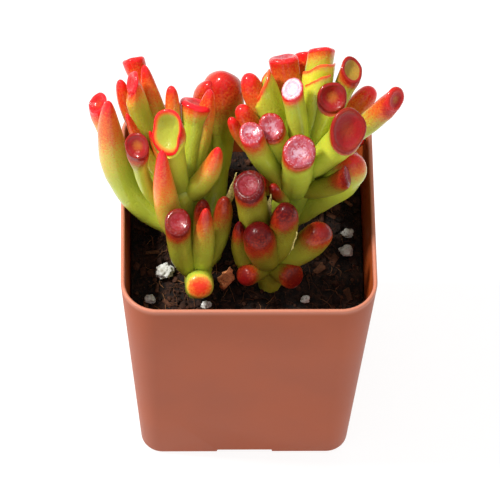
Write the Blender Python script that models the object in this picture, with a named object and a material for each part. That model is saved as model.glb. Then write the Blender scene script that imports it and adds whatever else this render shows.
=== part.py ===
"""Potted trumpet jade: a small succulent with finger and trumpet leaves in a square plastic pot.

Metres, +Z up. The origin is the centre of the pot's underside, and the front of the plant faces -Y.
The pot and the soil are lofts through rounded squares. Each leafy stem is one solid, because stem
and leaves grew as one piece, and it stands in its own plain hole in the soil.
"""

import math
import random

import bmesh
import bpy
from mathutils import Matrix, Quaternion, Vector, noise
from mathutils.bvhtree import BVHTree

MM = 0.001
GAP = 0.3

# Pot, in millimetres
POT_WIDTH = 57.0
POT_BASE_WIDTH = 48.0
POT_HEIGHT = 66.5
WALL = 0.9
RIM_EDGE = 0.27
FLOOR = 2.3
RIM_CORNER = 8.2
BASE_CORNER = 5.0
BASE_EDGE = 1.2
EDGE_STEP = 0.3
CORNER_STEPS = 6
NOTCH_WIDTH = 14.0
NOTCH_HEIGHT = 1.7
NOTCH_DEPTH = 2.6
NOTCH_TAPER = 0.9
DRAIN_HOLE = 4.5
DRAIN_OFFSET = 14.0
HOLE_SIDES = 16

# Soil, in millimetres
SOIL_LEVEL = 50.5
MOUND = 3.0
SOIL_RINGS = 6
CLOD = 1.1
CLOD_SIZE = 5.0
SOIL_SKIRT = 1.3

# Stems, in millimetres: where each stem stands, its route above the soil and its two radii
HOLE_BOTTOM = 44.0
STEM_FOOT = 54.0
STEM_SIDES = 10
# Rings of a stem's round top: how far past its route's end and how wide, in shares of its radius
STEM_TOP = ((0.55, 0.75), (0.85, 0.35))
STEMS = {
    "left_stem": ((-9, -4), ((-9.5, -4, 60), (-13, -3.5, 68), (-15, -3, 76)), 3.2, 3.6),
    "right_stem": ((6, -2), ((6.5, -2, 60), (9.5, -1.5, 71), (12, 0, 83)), 3.6, 3.8),
    "front_stem": ((5, -11.5), ((5, -11.5, 56), (5, -11.5, 59), (5, -11.5, 62)), 2.6, 2.9),
    "front_left_stem": ((-11.5, -13), ((-11.5, -13, 56), (-11.3, -13, 58), (-11, -13, 61)), 2.5, 3.0),
    "back_left_stem": ((-17, 13), ((-17, 13, 57), (-17.5, 14, 62), (-18, 15, 67)), 2.6, 2.6),
    "back_right_stem": ((13, 13), ((13, 13, 57), (13, 13.5, 62), (13, 14, 67)), 2.6, 2.6),
}

# Leaves: shape, tip, width, mouth width, way the mouth faces (turn from +X, rise), bow, and place on
# the stem from 0 at the soil to 1 at its top. A bow of 0.5 is straight, and more goes out before up.
LEAVES = {
    "left_stem": (
        ("cup", (-33.5, 8, 94.5), 4.2, 4.8, (195, 50), 0.90, 0.92),
        ("finger", (-31, 3, 102), 7.8, 0, None, 1.04, 0.42),
        ("blunt", (-28.5, 11, 99), 3.4, 0, None, 0.80, 0.95),
        ("trumpet", (-25.5, 17, 98.5), 3.9, 5.0, (105, 32), 0.60, 0.97),
        ("trumpet", (-25.8, 8.5, 101.4), 4.8, 5.0, (190, 22), 0.75, 0.98),
        ("finger", (-23.2, 14, 100.5), 5.0, 0, None, 0.65, 0.99),
        ("finger", (-27, 3, 97.5), 3.2, 0, None, 0.70, 0.96),
        ("cup", (-24.8, -4, 95), 3.3, 5.6, (-112, 34), 0.90, 0.60),
        ("blunt", (-17.3, 9, 99.5), 3.3, 0, None, 0.60, 1.0),
        ("ear", (-17.6, -2, 97.5), 5.4, 8.2, (-118, 30), 0.60, 0.97),
        ("trumpet", (-11.8, 8.5, 93.6), 5.6, 7.0, (62, 50), 0.60, 1.0),
        ("finger", (-8.7, 9.5, 97.5), 5.2, 0, None, 0.70, 0.98),
        ("mitten", (-5.8, 17, 92.6), 9.8, 0, None, 1.0, 0.25),
        ("mitten", (-8.9, 16, 91.4), 7.0, 0, None, 1.0, 0.25),
        ("finger", (-19.3, -7, 97.5), 6.2, 0, None, 1.0, 0.30),
        ("finger", (-7, -4, 94.3), 5.2, 0, None, 0.75, 0.94),
        ("finger", (-22, 3, 91), 2.4, 0, None, 0.60, 1.0),
        ("finger", (-25, 4, 79), 4.8, 0, None, 0.70, 0.60),
        ("trumpet", (-25, 14, 88), 4.8, 5.0, (130, 50), 0.60, 0.80),
        ("blunt", (-17, 16, 85), 5.0, 0, None, 0.48, 0.86),
    ),
    "right_stem": (
        ("trumpet", (7.5, 16, 100.2), 6.2, 6.6, (100, 46), 0.60, 0.97),
        ("trumpet", (12.5, 21, 95), 4.6, 4.8, (95, 26), 0.60, 0.92),
        ("trumpet", (15.7, 17, 101.6), 6.0, 6.0, (92, 28), 0.60, 0.98),
        ("blunt", (-0.6, 11, 101), 5.2, 0, None, 0.70, 0.93),
        ("spoon", (2.8, 9, 99.8), 6.4, 6.4, (166, 17), 0.65, 0.97),
        ("trumpet", (9, 4, 105.2), 4.8, 4.9, (-140, 62), 0.50, 1.0),
        ("hood", (15.2, 12.5, 101.2), 6.8, 7.2, (107, 29), 0.60, 1.0),
        ("hood", (14.9, 9.2, 101.4), 5.6, 6.0, (116, 29), 0.50, 1.0),
        ("cup", (18, 5, 100.5), 4.8, 6.5, (-85, 42), 0.60, 1.0),
        ("cup", (22.4, 12, 101.3), 4.6, 5.6, (-30, 50), 0.60, 0.98),
        ("blunt", (27.4, 13, 93.5), 5.2, 0, None, 0.60, 0.96),
        ("trumpet", (31.8, 5.5, 99.2), 5.0, 5.4, (-46, 26), 0.60, 0.97),
        ("spoon", (21.3, -2, 98), 7.2, 8.4, (-62, 36), 0.65, 0.93),
        ("trumpet", (10.6, -6, 95.5), 7.0, 7.2, (-95, 60), 0.60, 0.68),
        ("trumpet", (4.6, 0, 96.5), 5.4, 5.8, (-100, 55), 0.60, 0.88),
        ("trumpet", (0, -3, 98.3), 5.2, 5.4, (-110, 74), 0.70, 0.76),
        ("blunt", (-2.1, 5, 97.4), 4.8, 0, None, 0.70, 0.88),
        ("blunt", (-4.3, 3, 95.8), 3.1, 0, None, 0.75, 0.82),
        ("trumpet", (21.3, -6.5, 87.3), 4.8, 4.4, (0, 20), 0.70, 0.72),
        ("paddle", (23.3, -2, 87.5), 8.8, 0, None, 0.66, 0.30),
        ("blunt", (5, -8.5, 86.5), 2.8, 0, None, 0.70, 0.62),
        ("trumpet", (6, 15, 89), 5.0, 5.4, (105, 50), 0.70, 0.70),
        ("finger", (14.5, 19, 88), 5.0, 0, None, 0.52, 0.76),
        ("blunt", (22.5, 11, 87), 5.0, 0, None, 0.55, 0.70),
        ("trumpet", (23, 2.5, 82), 4.8, 5.2, (10, 45), 0.70, 0.55),
    ),
    "front_stem": (
        ("trumpet", (-0.4, -10, 88.5), 7.0, 6.8, (-125, 70), 0.65, 1.0),
        ("blunt", (7.9, -13, 85), 6.5, 0, None, 0.75, 1.0),
        ("blunt", (1.6, -16.5, 81.5), 7.3, 0, None, 0.70, 1.0),
        ("finger", (-2.3, -13, 79), 5.0, 0, None, 1.0, 0.50),
        ("blunt", (16.2, -13, 76.5), 7.0, 0, None, 0.70, 0.95),
        ("blunt", (10.5, -17.5, 63.5), 6.2, 0, None, 0.60, 0.85),
        ("blunt", (-1.5, -17.5, 63.8), 5.2, 0, None, 0.60, 0.85),
    ),
    "front_left_stem": (
        ("trumpet", (-15.8, -13, 79), 5.6, 5.8, (-105, 65), 0.95, 0.85),
        ("blunt", (-10.3, -8, 80), 4.0, 0, None, 0.80, 0.95),
        ("finger", (-9.7, -13, 84), 5.2, 0, None, 0.80, 0.90),
        ("blunt", (-5.5, -9, 82.5), 4.4, 0, None, 0.90, 0.85),
        ("blunt", (-10.7, -20, 63), 6.4, 0, None, 0.60, 0.80),
    ),
    "back_left_stem": (),
    "back_right_stem": (),
}

# Growth rule of the two shoots behind: leaves in pairs, each pair a quarter turn from the last
BACK_SHOOTS = {
    "back_left_stem": dict(seed=7, pairs=5, first_turn=35, length=(13, 10), rise=(45, 66)),
    "back_right_stem": dict(seed=11, pairs=5, first_turn=32, length=(15, 11), rise=(30, 60)),
}
BACK_PLACES = (0.35, 1.0)
BACK_WIDTH = (4.4, 5.6)
BACK_LENGTH_SPREAD = (0.9, 1.1)
BACK_SWAY = 9
BACK_BOW = 0.7
TRUMPET_CHANCE = 0.6
TRUMPET_FLARE = 1.1
TRUMPET_LIFT = 15

# An octagon this much wider than its circle covers the same area
LEAF_SIDES = 8
OCTAGON = 1.05
LEAF_FLATNESS = 0.95
TRUMPET_RINGS = ((0.0, 0.80), (0.22, 0.92), (0.5, 0.99), (0.80, 1.0))
RINGS = {
    "finger": ((0.0, 0.85), (0.2, 0.98), (0.45, 1.0), (0.70, 0.90), (0.88, 0.64), (0.985, 0.26)),
    "blunt": ((0.0, 0.75), (0.25, 0.90), (0.6, 1.0), (0.86, 0.96), (0.96, 0.74), (0.995, 0.40)),
    "mitten": ((0.0, 0.60), (0.4, 0.61), (0.66, 0.68), (0.80, 1.0), (0.92, 0.90), (0.985, 0.50)),
    "paddle": ((0.0, 0.60), (0.3, 0.64), (0.55, 0.77), (0.75, 1.0), (0.90, 0.90), (0.98, 0.50)),
    "trumpet": TRUMPET_RINGS,
    "cup": TRUMPET_RINGS,
    "hood": TRUMPET_RINGS,
    "spoon": ((0.0, 0.76), (0.22, 0.87), (0.5, 0.95), (0.76, 1.0)),
    "ear": ((0.0, 0.90), (0.22, 0.92), (0.5, 0.94), (0.76, 1.0)),
}
MOUTH_SHARE = 0.92
# The mouths: stretch towards the tip, then lip radius, its rise, dish radius and dish depth in
# shares of the mouth's radius
MOUTHS = {
    "trumpet": (1.08, 0.78, 0.12, 0.42, 0.08),
    "cup": (1.08, 0.86, 0.08, 0.44, 0.24),
    "hood": (1.12, 0.90, 0.05, 0.44, 0.24),
    "spoon": (1.24, 0.86, 0.07, 0.44, 0.16),
    "ear": (1.26, 0.88, 0.06, 0.44, 0.34),
}

# Perlite grains on the soil, in millimetres: place and size
PERLITE = (
    (-18.5, -9, 4.2), (-22, -15.5, 2.6), (-9.5, -17.6, 2.3), (23, 2, 2.8), (22.5, -3, 3.2),
    (15.5, -1.5, 2.4), (13, -16.5, 2.2), (-21, 20, 2.8), (17, 18, 3.0),
)
PERLITE_SEED = 4
PERLITE_ROUGHNESS = (0.82, 1.0)
PERLITE_SHAPE = (1.0, 0.85, 0.7)

# Colours as shown on a screen, 0 to 255
POT_COLOUR = (160, 92, 66)
SOIL_COLOUR = (44, 26, 17)
LEAF_COLOUR = (160, 176, 60)
PERLITE_COLOUR = (205, 200, 192)


def screen_to_linear(colour):
    return [(((c / 255) + 0.055) / 1.055) ** 2.4 for c in colour] + [1.0]


def make_material(name, colour, roughness):
    material = bpy.data.materials.new(name)
    material.use_nodes = True
    shader = material.node_tree.nodes["Principled BSDF"]
    shader.inputs["Base Color"].default_value = screen_to_linear(colour)
    shader.inputs["Roughness"].default_value = roughness
    shader.inputs["Metallic"].default_value = 0.0
    return material


def make_object(name, bm, collection, material=None, smooth=40):
    """Turn a bmesh in millimetres into an object in metres."""
    bmesh.ops.scale(bm, vec=(MM, MM, MM), verts=bm.verts)
    bmesh.ops.recalc_face_normals(bm, faces=bm.faces)
    mesh = bpy.data.meshes.new(name)
    bm.to_mesh(mesh)
    bm.free()
    mesh.shade_smooth()
    mesh.set_sharp_from_angle(angle=math.radians(smooth))
    obj = bpy.data.objects.new(name, mesh)
    collection.objects.link(obj)
    if material:
        mesh.materials.append(material)
    return obj


def new_verts(result):
    return [item for item in result["geom"] if isinstance(item, bmesh.types.BMVert)]


def new_edges(result):
    return [item for item in result["geom"] if isinstance(item, bmesh.types.BMEdge)]


def tube(bm, rings, sides):
    """Draw a closed tube: a circle is placed by the first matrix and extruded to each next one."""
    start = bmesh.ops.create_circle(bm, cap_ends=True, segments=sides, radius=1.0, matrix=rings[0])
    edges = list({edge for vert in start["verts"] for edge in vert.link_edges})
    for here, there in zip(rings, rings[1:]):
        result = bmesh.ops.extrude_edge_only(bm, edges=edges)
        ends = set(new_verts(result))
        bmesh.ops.transform(bm, matrix=there @ here.inverted(), verts=list(ends))
        edges = [edge for edge in new_edges(result) if all(vert in ends for vert in edge.verts)]
    bmesh.ops.contextual_create(bm, geom=edges)


def ring_at(centre, turn, radius, flat=1.0, stretch=1.0, along=None):
    scale = Matrix.Diagonal((radius, radius * flat, 1.0, 1.0))
    matrix = turn.to_matrix().to_4x4() @ scale
    if along and along.length > 1e-6:
        matrix = Matrix.Scale(stretch, 4, along.normalized()) @ matrix
    return Matrix.Translation(centre) @ matrix


def direction(turn, rise):
    turn, rise = math.radians(turn), math.radians(rise)
    flat = math.cos(rise)
    return Vector((flat * math.cos(turn), flat * math.sin(turn), math.sin(rise)))


def rounded_square(half, corner, height):
    """Points round a square with round corners, the same number at every level of the pot."""
    points = []
    for quarter in range(4):
        middle = Vector((half - corner, half - corner)) @ Matrix.Rotation(-quarter * math.pi / 2, 2)
        for step in range(CORNER_STEPS + 1):
            angle = (quarter + step / CORNER_STEPS) * math.pi / 2
            x = middle.x + corner * math.cos(angle)
            y = middle.y + corner * math.sin(angle)
            points.append((x, y, height))
    return points


def loft(bm, levels):
    """Join closed rings of points, one above the other, and close the first and the last."""
    rings = [[bm.verts.new(point) for point in level] for level in levels]
    for ring in rings:
        for a, b in zip(ring, ring[1:] + ring[:1]):
            bm.edges.new((a, b))
    for low, high in zip(rings, rings[1:]):
        edges = []
        for ring in (low, high):
            edges += [bm.edges.get((a, b)) for a, b in zip(ring, ring[1:] + ring[:1])]
        bmesh.ops.bridge_loops(bm, edges=edges)
    bm.faces.new(rings[0])
    bm.faces.new(rings[-1])


def pot_half(height):
    """Half the pot's outer width at a height."""
    share = height / POT_HEIGHT
    return (POT_BASE_WIDTH + (POT_WIDTH - POT_BASE_WIDTH) * share) / 2


def pot_corner(height):
    return BASE_CORNER + (RIM_CORNER - BASE_CORNER) * height / POT_HEIGHT


def wall_level(height, inset):
    return rounded_square(pot_half(height) - inset, pot_corner(height) - inset, height)


def build_pot(collection, cutters, material):
    low_edge = BASE_EDGE * EDGE_STEP
    levels = [
        rounded_square(pot_half(0) - BASE_EDGE, BASE_CORNER - BASE_EDGE, 0.0),
        rounded_square(pot_half(0) - low_edge, BASE_CORNER - low_edge, low_edge),
        wall_level(BASE_EDGE, 0.0),
        wall_level(POT_HEIGHT - RIM_EDGE, 0.0),
        wall_level(POT_HEIGHT, RIM_EDGE),
        wall_level(POT_HEIGHT, WALL - RIM_EDGE),
        wall_level(POT_HEIGHT - RIM_EDGE, WALL),
        wall_level(FLOOR + BASE_EDGE, WALL),
        wall_level(FLOOR, WALL + BASE_EDGE * (1 - EDGE_STEP)),
    ]
    bm = bmesh.new()
    loft(bm, levels)
    pot = make_object("pot", bm, collection, material, smooth=30)
    for side in range(4):
        turn = Matrix.Rotation(side * math.pi / 2, 4, "Z")
        cut(pot, cutter_box(cutters, turn))
    for x in (-1, 1):
        for y in (-1, 1):
            place = (x * DRAIN_OFFSET, y * DRAIN_OFFSET)
            cut(pot, cutter_post(cutters, place, -FLOOR, FLOOR * 2, DRAIN_HOLE / 2))
    return pot


def cutter_box(cutters, turn):
    """A low wedge that opens the pot's bottom edge in the middle of one side."""
    bm = bmesh.new()
    bmesh.ops.create_cube(bm, size=1.0)
    deep = NOTCH_DEPTH * 2
    bmesh.ops.scale(bm, vec=(NOTCH_WIDTH, deep, NOTCH_HEIGHT * 2), verts=bm.verts)
    top = [vert for vert in bm.verts if vert.co.z > 0]
    bmesh.ops.scale(bm, vec=(NOTCH_TAPER, 1.0, 1.0), verts=top)
    bmesh.ops.translate(bm, vec=(0, -pot_half(0), 0), verts=bm.verts)
    bmesh.ops.transform(bm, matrix=turn, verts=bm.verts)
    return hide(make_object("notch_cutter", bm, cutters))


def cutter_post(cutters, place, bottom, top, radius):
    bm = bmesh.new()
    matrix = Matrix.Translation((*place, (bottom + top) / 2))
    size = dict(segments=HOLE_SIDES, radius1=radius, radius2=radius, depth=top - bottom)
    bmesh.ops.create_cone(bm, cap_ends=True, matrix=matrix, **size)
    return hide(make_object("hole_cutter", bm, cutters))


def hide(cutter):
    cutter.hide_render = True
    cutter.display_type = "WIRE"
    return cutter


def cut(target, cutter):
    modifier = target.modifiers.new("cut", "BOOLEAN")
    modifier.operation = "DIFFERENCE"
    modifier.solver = "EXACT"
    modifier.object = cutter


def soil_height(x, y):
    """Height of the soil: a low mound with clods, level at the pot's wall."""
    reach = min(1.0, max(abs(x), abs(y)) / pot_half(SOIL_LEVEL))
    clods = noise.noise(Vector((x / CLOD_SIZE, y / CLOD_SIZE, 0.0))) * CLOD
    return SOIL_LEVEL + MOUND * (1 - reach**2) + clods


def build_soil(collection, cutters, material):
    low = FLOOR + GAP
    inset = WALL + GAP
    levels = [
        wall_level(low, inset + BASE_EDGE),
        wall_level(low + BASE_EDGE, inset),
        wall_level(SOIL_LEVEL - SOIL_SKIRT, inset),
    ]
    for ring in range(SOIL_RINGS):
        share = 1 - ring / SOIL_RINGS
        half = (pot_half(SOIL_LEVEL) - inset - GAP) * share
        outline = rounded_square(half, pot_corner(SOIL_LEVEL) * share, 0)
        levels.append([(x, y, soil_height(x, y)) for x, y, _ in outline])
    bm = bmesh.new()
    loft(bm, levels)
    bmesh.ops.triangulate(bm, faces=bm.faces)
    ground = BVHTree.FromBMesh(bm)
    soil = make_object("soil", bm, collection, material, smooth=60)
    for place, _, radius, _ in STEMS.values():
        cut(soil, cutter_post(cutters, place, HOLE_BOTTOM - GAP, POT_HEIGHT, radius + GAP))
    return ground


def stem_rings(name):
    """Ring matrices of a stem: straight in its hole, then along its route, and a round top."""
    (x, y), route, foot, top = STEMS[name]
    points = [Vector((x, y, HOLE_BOTTOM)), Vector((x, y, STEM_FOOT))]
    points += [Vector(point) for point in route]
    turn = Quaternion()
    normal = Vector((0, 0, 1))
    rings = []
    for index, point in enumerate(points):
        after = points[min(index + 1, len(points) - 1)]
        before = points[max(index - 1, 0)]
        ahead = (after - before).normalized() if index > 1 else Vector((0, 0, 1))
        turn = normal.rotation_difference(ahead) @ turn
        normal = ahead
        share = index / (len(points) - 1)
        rings.append(ring_at(point, turn, foot + (top - foot) * share))
    for rise, size in STEM_TOP:
        rings.append(ring_at(points[-1] + normal * top * rise, turn, top * size))
    return rings


def stem_point(name, share):
    """A point on a stem's centre line, from 0 at the soil to 1 at the top."""
    (x, y), route, _, _ = STEMS[name]
    points = [Vector((x, y, STEM_FOOT))] + [Vector(point) for point in route]
    lengths = [(b - a).length for a, b in zip(points, points[1:])]
    left = share * sum(lengths)
    for start, end, length in zip(points, points[1:], lengths):
        if left <= length:
            return start.lerp(end, left / length)
        left -= length
    return points[-1]


def leaf_line(root, tip, bow):
    """The bent centre line of a leaf, as a function from 0 at the stem to 1 at the tip."""
    elbow = root.lerp(tip, bow)
    elbow.z = root.z + (tip.z - root.z) * (1 - bow)

    def at(share):
        near = root.lerp(elbow, share)
        far = elbow.lerp(tip, share)
        return near.lerp(far, share), (far - near).normalized()

    return at


def leaf_rings(root, leaf):
    """Ring matrices of one leaf. A shape with a mouth ends in a lip and a dish, the rest are round."""
    shape, tip, width, mouth, face, bow, _ = leaf
    at = leaf_line(root, Vector(tip), bow)
    turn = Quaternion()
    normal = Vector((0, 0, 1))
    rings = []
    for share, size in RINGS[shape]:
        centre, ahead = at(share)
        turn = normal.rotation_difference(ahead) @ turn
        normal = ahead
        rings.append(ring_at(centre, turn, width / 2 * size * OCTAGON, LEAF_FLATNESS))
    if not mouth:
        return rings
    out = direction(*face)
    centre, ahead = at(1.0)
    along = ahead - out * ahead.dot(out)
    half_way = ahead.lerp(out, 0.5).normalized()
    middle, _ = at(MOUTH_SHARE)
    turn = normal.rotation_difference(half_way) @ turn
    rings.append(ring_at(middle, turn, (width + mouth) / 4 * OCTAGON))
    turn = half_way.rotation_difference(out) @ turn
    stretch, lip, lip_rise, dish, depth = MOUTHS[shape]
    radius = mouth / 2 * OCTAGON
    rings.append(ring_at(centre, turn, radius, 1.0, stretch, along))
    rings.append(ring_at(centre + out * radius * lip_rise, turn, radius * lip, 1.0, stretch, along))
    rings.append(ring_at(centre - out * radius * depth, turn, radius * dish, 1.0, stretch, along))
    return rings


def between(ends, share):
    return ends[0] + (ends[1] - ends[0]) * share


def back_leaves(name):
    """Leaves of a shoot behind, two at a time, each pair a quarter turn from the one below."""
    rule = BACK_SHOOTS[name]
    draw = random.Random(rule["seed"])
    leaves = []
    for pair in range(rule["pairs"]):
        level = pair / (rule["pairs"] - 1)
        place = between(BACK_PLACES, level)
        root = stem_point(name, place)
        rise = between(rule["rise"], level)
        length = between(rule["length"], level)
        for half in (0, 180):
            turn = rule["first_turn"] + pair * 90 + half + draw.uniform(-BACK_SWAY, BACK_SWAY)
            tip = root + direction(turn, rise) * length * draw.uniform(*BACK_LENGTH_SPREAD)
            width = draw.uniform(*BACK_WIDTH)
            if draw.random() < TRUMPET_CHANCE:
                mouth = width * TRUMPET_FLARE
                face = (turn, rise + TRUMPET_LIFT)
                leaves.append(("trumpet", tip, width, mouth, face, BACK_BOW, place))
            else:
                leaves.append(("finger", tip, width, 0, None, BACK_BOW, place))
    return leaves


def build_leafy_stem(name, collection, material):
    """A stem with its leaves, joined into one solid."""
    bm = bmesh.new()
    tube(bm, stem_rings(name), STEM_SIDES)
    stem = make_object(name, bm, collection, material, smooth=50)
    leaves = bpy.data.collections.new(name + "_leaves")
    bpy.context.scene.collection.children.link(leaves)
    for index, leaf in enumerate(LEAVES[name] or back_leaves(name)):
        bm = bmesh.new()
        tube(bm, leaf_rings(stem_point(name, leaf[-1]), leaf), LEAF_SIDES)
        make_object(f"{name}_leaf_{index}", bm, leaves, material)
    union = stem.modifiers.new("leaves", "BOOLEAN")
    union.operation = "UNION"
    union.operand_type = "COLLECTION"
    union.collection = leaves
    union.solver = "MANIFOLD"
    with bpy.context.temp_override(object=stem, active_object=stem):
        bpy.ops.object.modifier_apply(modifier=union.name)
    for leaf in list(leaves.objects):
        bpy.data.objects.remove(leaf)
    bpy.data.collections.remove(leaves)
    stem.data.set_sharp_from_angle(angle=math.radians(50))
    return stem


def build_perlite(collection, material, ground):
    """Rough grains, each let down until it is one gap above the soil."""
    down = Vector((0, 0, -1))
    draw = random.Random(PERLITE_SEED)
    for index, (x, y, size) in enumerate(PERLITE, start=1):
        bm = bmesh.new()
        bmesh.ops.create_icosphere(bm, subdivisions=1, radius=size / 2)
        for vert in bm.verts:
            vert.co *= draw.uniform(*PERLITE_ROUGHNESS)
        bmesh.ops.scale(bm, vec=PERLITE_SHAPE, verts=bm.verts)
        bmesh.ops.rotate(bm, matrix=Matrix.Rotation(draw.uniform(0, 3), 3, "Z"), verts=bm.verts)
        bmesh.ops.translate(bm, vec=(x, y, POT_HEIGHT), verts=bm.verts)
        drop = min(ground.ray_cast(vert.co, down)[3] for vert in bm.verts)
        bmesh.ops.translate(bm, vec=(0, 0, GAP - drop), verts=bm.verts)
        make_object(f"perlite_{index}", bm, collection, material, smooth=20)


def main():
    for obj in list(bpy.data.objects):
        bpy.data.objects.remove(obj)
    part = bpy.data.collections.new("potted_trumpet_jade")
    cutters = bpy.data.collections.new("cutters")
    bpy.context.scene.collection.children.link(part)
    bpy.context.scene.collection.children.link(cutters)

    build_pot(part, cutters, make_material("pot_plastic", POT_COLOUR, 0.5))
    ground = build_soil(part, cutters, make_material("potting_soil", SOIL_COLOUR, 0.95))
    for name in STEMS:
        build_leafy_stem(name, part, make_material(name, LEAF_COLOUR, 0.4))
    build_perlite(part, make_material("perlite", PERLITE_COLOUR, 0.9), ground)


main()
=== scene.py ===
# %% [markdown]
# # A potted trumpet jade
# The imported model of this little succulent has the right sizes, but its leaves are octagons of one
# colour. This lesson gives it the looks of the real plant: round waxy leaves that blush from green
# to red, a satin plastic pot and crumbly soil. Each cell makes one thing and says how it went.

import math
import random

import bmesh
import bpy
from mathutils import Matrix, Quaternion, Vector, noise


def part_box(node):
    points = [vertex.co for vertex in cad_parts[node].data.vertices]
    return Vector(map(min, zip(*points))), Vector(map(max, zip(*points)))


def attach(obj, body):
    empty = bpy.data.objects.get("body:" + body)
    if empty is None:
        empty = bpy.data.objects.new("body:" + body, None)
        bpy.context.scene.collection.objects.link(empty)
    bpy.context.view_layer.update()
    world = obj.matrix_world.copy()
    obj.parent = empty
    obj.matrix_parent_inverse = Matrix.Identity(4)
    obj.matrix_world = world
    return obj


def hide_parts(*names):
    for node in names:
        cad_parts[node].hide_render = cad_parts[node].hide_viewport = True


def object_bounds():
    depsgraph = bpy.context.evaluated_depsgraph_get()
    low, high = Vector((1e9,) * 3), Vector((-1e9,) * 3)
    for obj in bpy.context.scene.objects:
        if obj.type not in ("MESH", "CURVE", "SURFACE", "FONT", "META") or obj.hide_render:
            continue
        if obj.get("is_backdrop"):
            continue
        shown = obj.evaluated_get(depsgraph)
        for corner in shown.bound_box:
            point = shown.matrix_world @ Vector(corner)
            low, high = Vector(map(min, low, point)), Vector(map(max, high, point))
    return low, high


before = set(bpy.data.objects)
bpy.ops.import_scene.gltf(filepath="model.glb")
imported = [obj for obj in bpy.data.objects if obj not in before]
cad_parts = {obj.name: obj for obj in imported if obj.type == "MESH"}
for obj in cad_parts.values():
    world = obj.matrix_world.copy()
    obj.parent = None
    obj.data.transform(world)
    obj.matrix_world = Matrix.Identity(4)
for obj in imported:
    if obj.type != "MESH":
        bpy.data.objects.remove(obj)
CAD_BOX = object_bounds()
MM = 0.001
print("nodes of the model:", len(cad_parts))
print("its box in mm:", [[round(value / MM, 1) for value in corner] for corner in CAD_BOX])

# %% [markdown]
# ## Writing materials as sums
# A material is a net of nodes, and a net is slow to read. The class below wraps one output of a
# node, so that `1 - mask` or `grain * 0.5` adds the Math nodes by itself. The second class holds a
# material while it is put together, and has one method that can add any node.

# %% A wire that can be added and multiplied
class Wire:
    """One output of a shader node, on which maths reads as in Python."""

    def __init__(self, finish, socket):
        self.finish = finish
        self.socket = socket

    def maths(self, operation, first, second):
        return self.finish.node("Math", {"operation": operation}, {0: first, 1: second})

    def __add__(self, other):
        return self.maths("ADD", self, other)

    def __radd__(self, other):
        return self.maths("ADD", other, self)

    def __sub__(self, other):
        return self.maths("SUBTRACT", self, other)

    def __rsub__(self, other):
        return self.maths("SUBTRACT", other, self)

    def __mul__(self, other):
        return self.maths("MULTIPLY", self, other)

    def __rmul__(self, other):
        return self.maths("MULTIPLY", other, self)

    def __truediv__(self, other):
        return self.maths("DIVIDE", self, other)

    def __rtruediv__(self, other):
        return self.maths("DIVIDE", other, self)


# %% A material under construction
def paint(colour):
    """A colour as picked on a screen, 0 to 255, as the linear values that a shader wants."""
    return [((value / 255 + 0.055) / 1.055) ** 2.4 for value in colour] + [1.0]


def pick(sockets, name):
    """A node's socket by its number, its name or, where two share a name, its identifier."""
    if isinstance(name, int):
        return sockets[name]
    return next(socket for socket in sockets if name in (socket.identifier, socket.name))


class Finish:
    """A material that is put together node by node."""

    def __init__(self, name):
        self.material = bpy.data.materials.new(name)
        self.material.use_nodes = True
        self.tree = self.material.node_tree
        self.tree.nodes.clear()

    def node(self, kind, settings=None, inputs=None, output=0):
        """Add a node: its settings come first, then its sockets. Returns one of its outputs."""
        node = self.tree.nodes.new("ShaderNode" + kind)
        for name, value in (settings or {}).items():
            setattr(node, name, value)
        for name, value in (inputs or {}).items():
            socket = pick(node.inputs, name)
            if isinstance(value, Wire):
                self.tree.links.new(value.socket, socket)
            else:
                socket.default_value = value
        return Wire(self, pick(node.outputs, output)) if len(node.outputs) else None

    def place(self):
        return self.node("TexCoord", output="Object")

    def attribute(self, name):
        return self.node("Attribute", {"attribute_name": name}, output="Fac")

    def clouds(self, scale, detail=2.0, rough=0.5):
        """Soft noise from 0 to 1. The scale is in patches per metre."""
        inputs = {"Vector": self.place(), "Scale": scale, "Detail": detail, "Roughness": rough}
        return self.node("TexNoise", inputs=inputs, output="Fac")

    def cells(self, scale):
        """Distance to the nearest of many scattered points, this many of them per metre."""
        return self.node("TexVoronoi", inputs={"Vector": self.place(), "Scale": scale})

    def step(self, value, low, high):
        """0 at low, 1 at high, and a soft ramp between. Low may be the larger of the two."""
        settings = {"interpolation_type": "SMOOTHSTEP"}
        return self.node("MapRange", settings, {"Value": value, "From Min": low, "From Max": high})

    def mix(self, share, first, second):
        """From the first colour to the second as the share goes from 0 to 1."""
        colours = [value if isinstance(value, Wire) else paint(value) for value in (first, second)]
        inputs = {"Factor_Float": share, "A_Color": colours[0], "B_Color": colours[1]}
        return self.node("Mix", {"data_type": "RGBA"}, inputs, output="Result_Color")

    def bump(self, height, depth):
        """Relief of this depth in metres where the height goes from 0 to 1."""
        return self.node("Bump", inputs={"Height": height, "Distance": depth, "Strength": 1.0})

    def surface(self, **sockets):
        """End the material in a Principled shader. Its sockets are named in words_with_lines."""
        inputs = {name.replace("_", " "): value for name, value in sockets.items()}
        shader = self.node("BsdfPrincipled", inputs=inputs)
        self.node("OutputMaterial", inputs={"Surface": shader})
        print("finish", self.material.name, "has", len(self.tree.nodes), "nodes")
        return self.material


print("white on a screen is", paint((255, 255, 255)), "in a shader")

# %% [markdown]
# ## The skin of the leaves
# The real leaf is a water-filled skin with a waxy bloom. It is yellow-green at its foot, and where
# the sun reaches it blushes yellow, orange and then red, with a ragged, speckled border. One
# material does all leaves, which is less work than one for each: every leaf carries numbers on its
# vertices that say how far along it a point lies, how far its blush comes down and what the dish
# at its end looks like.

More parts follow.
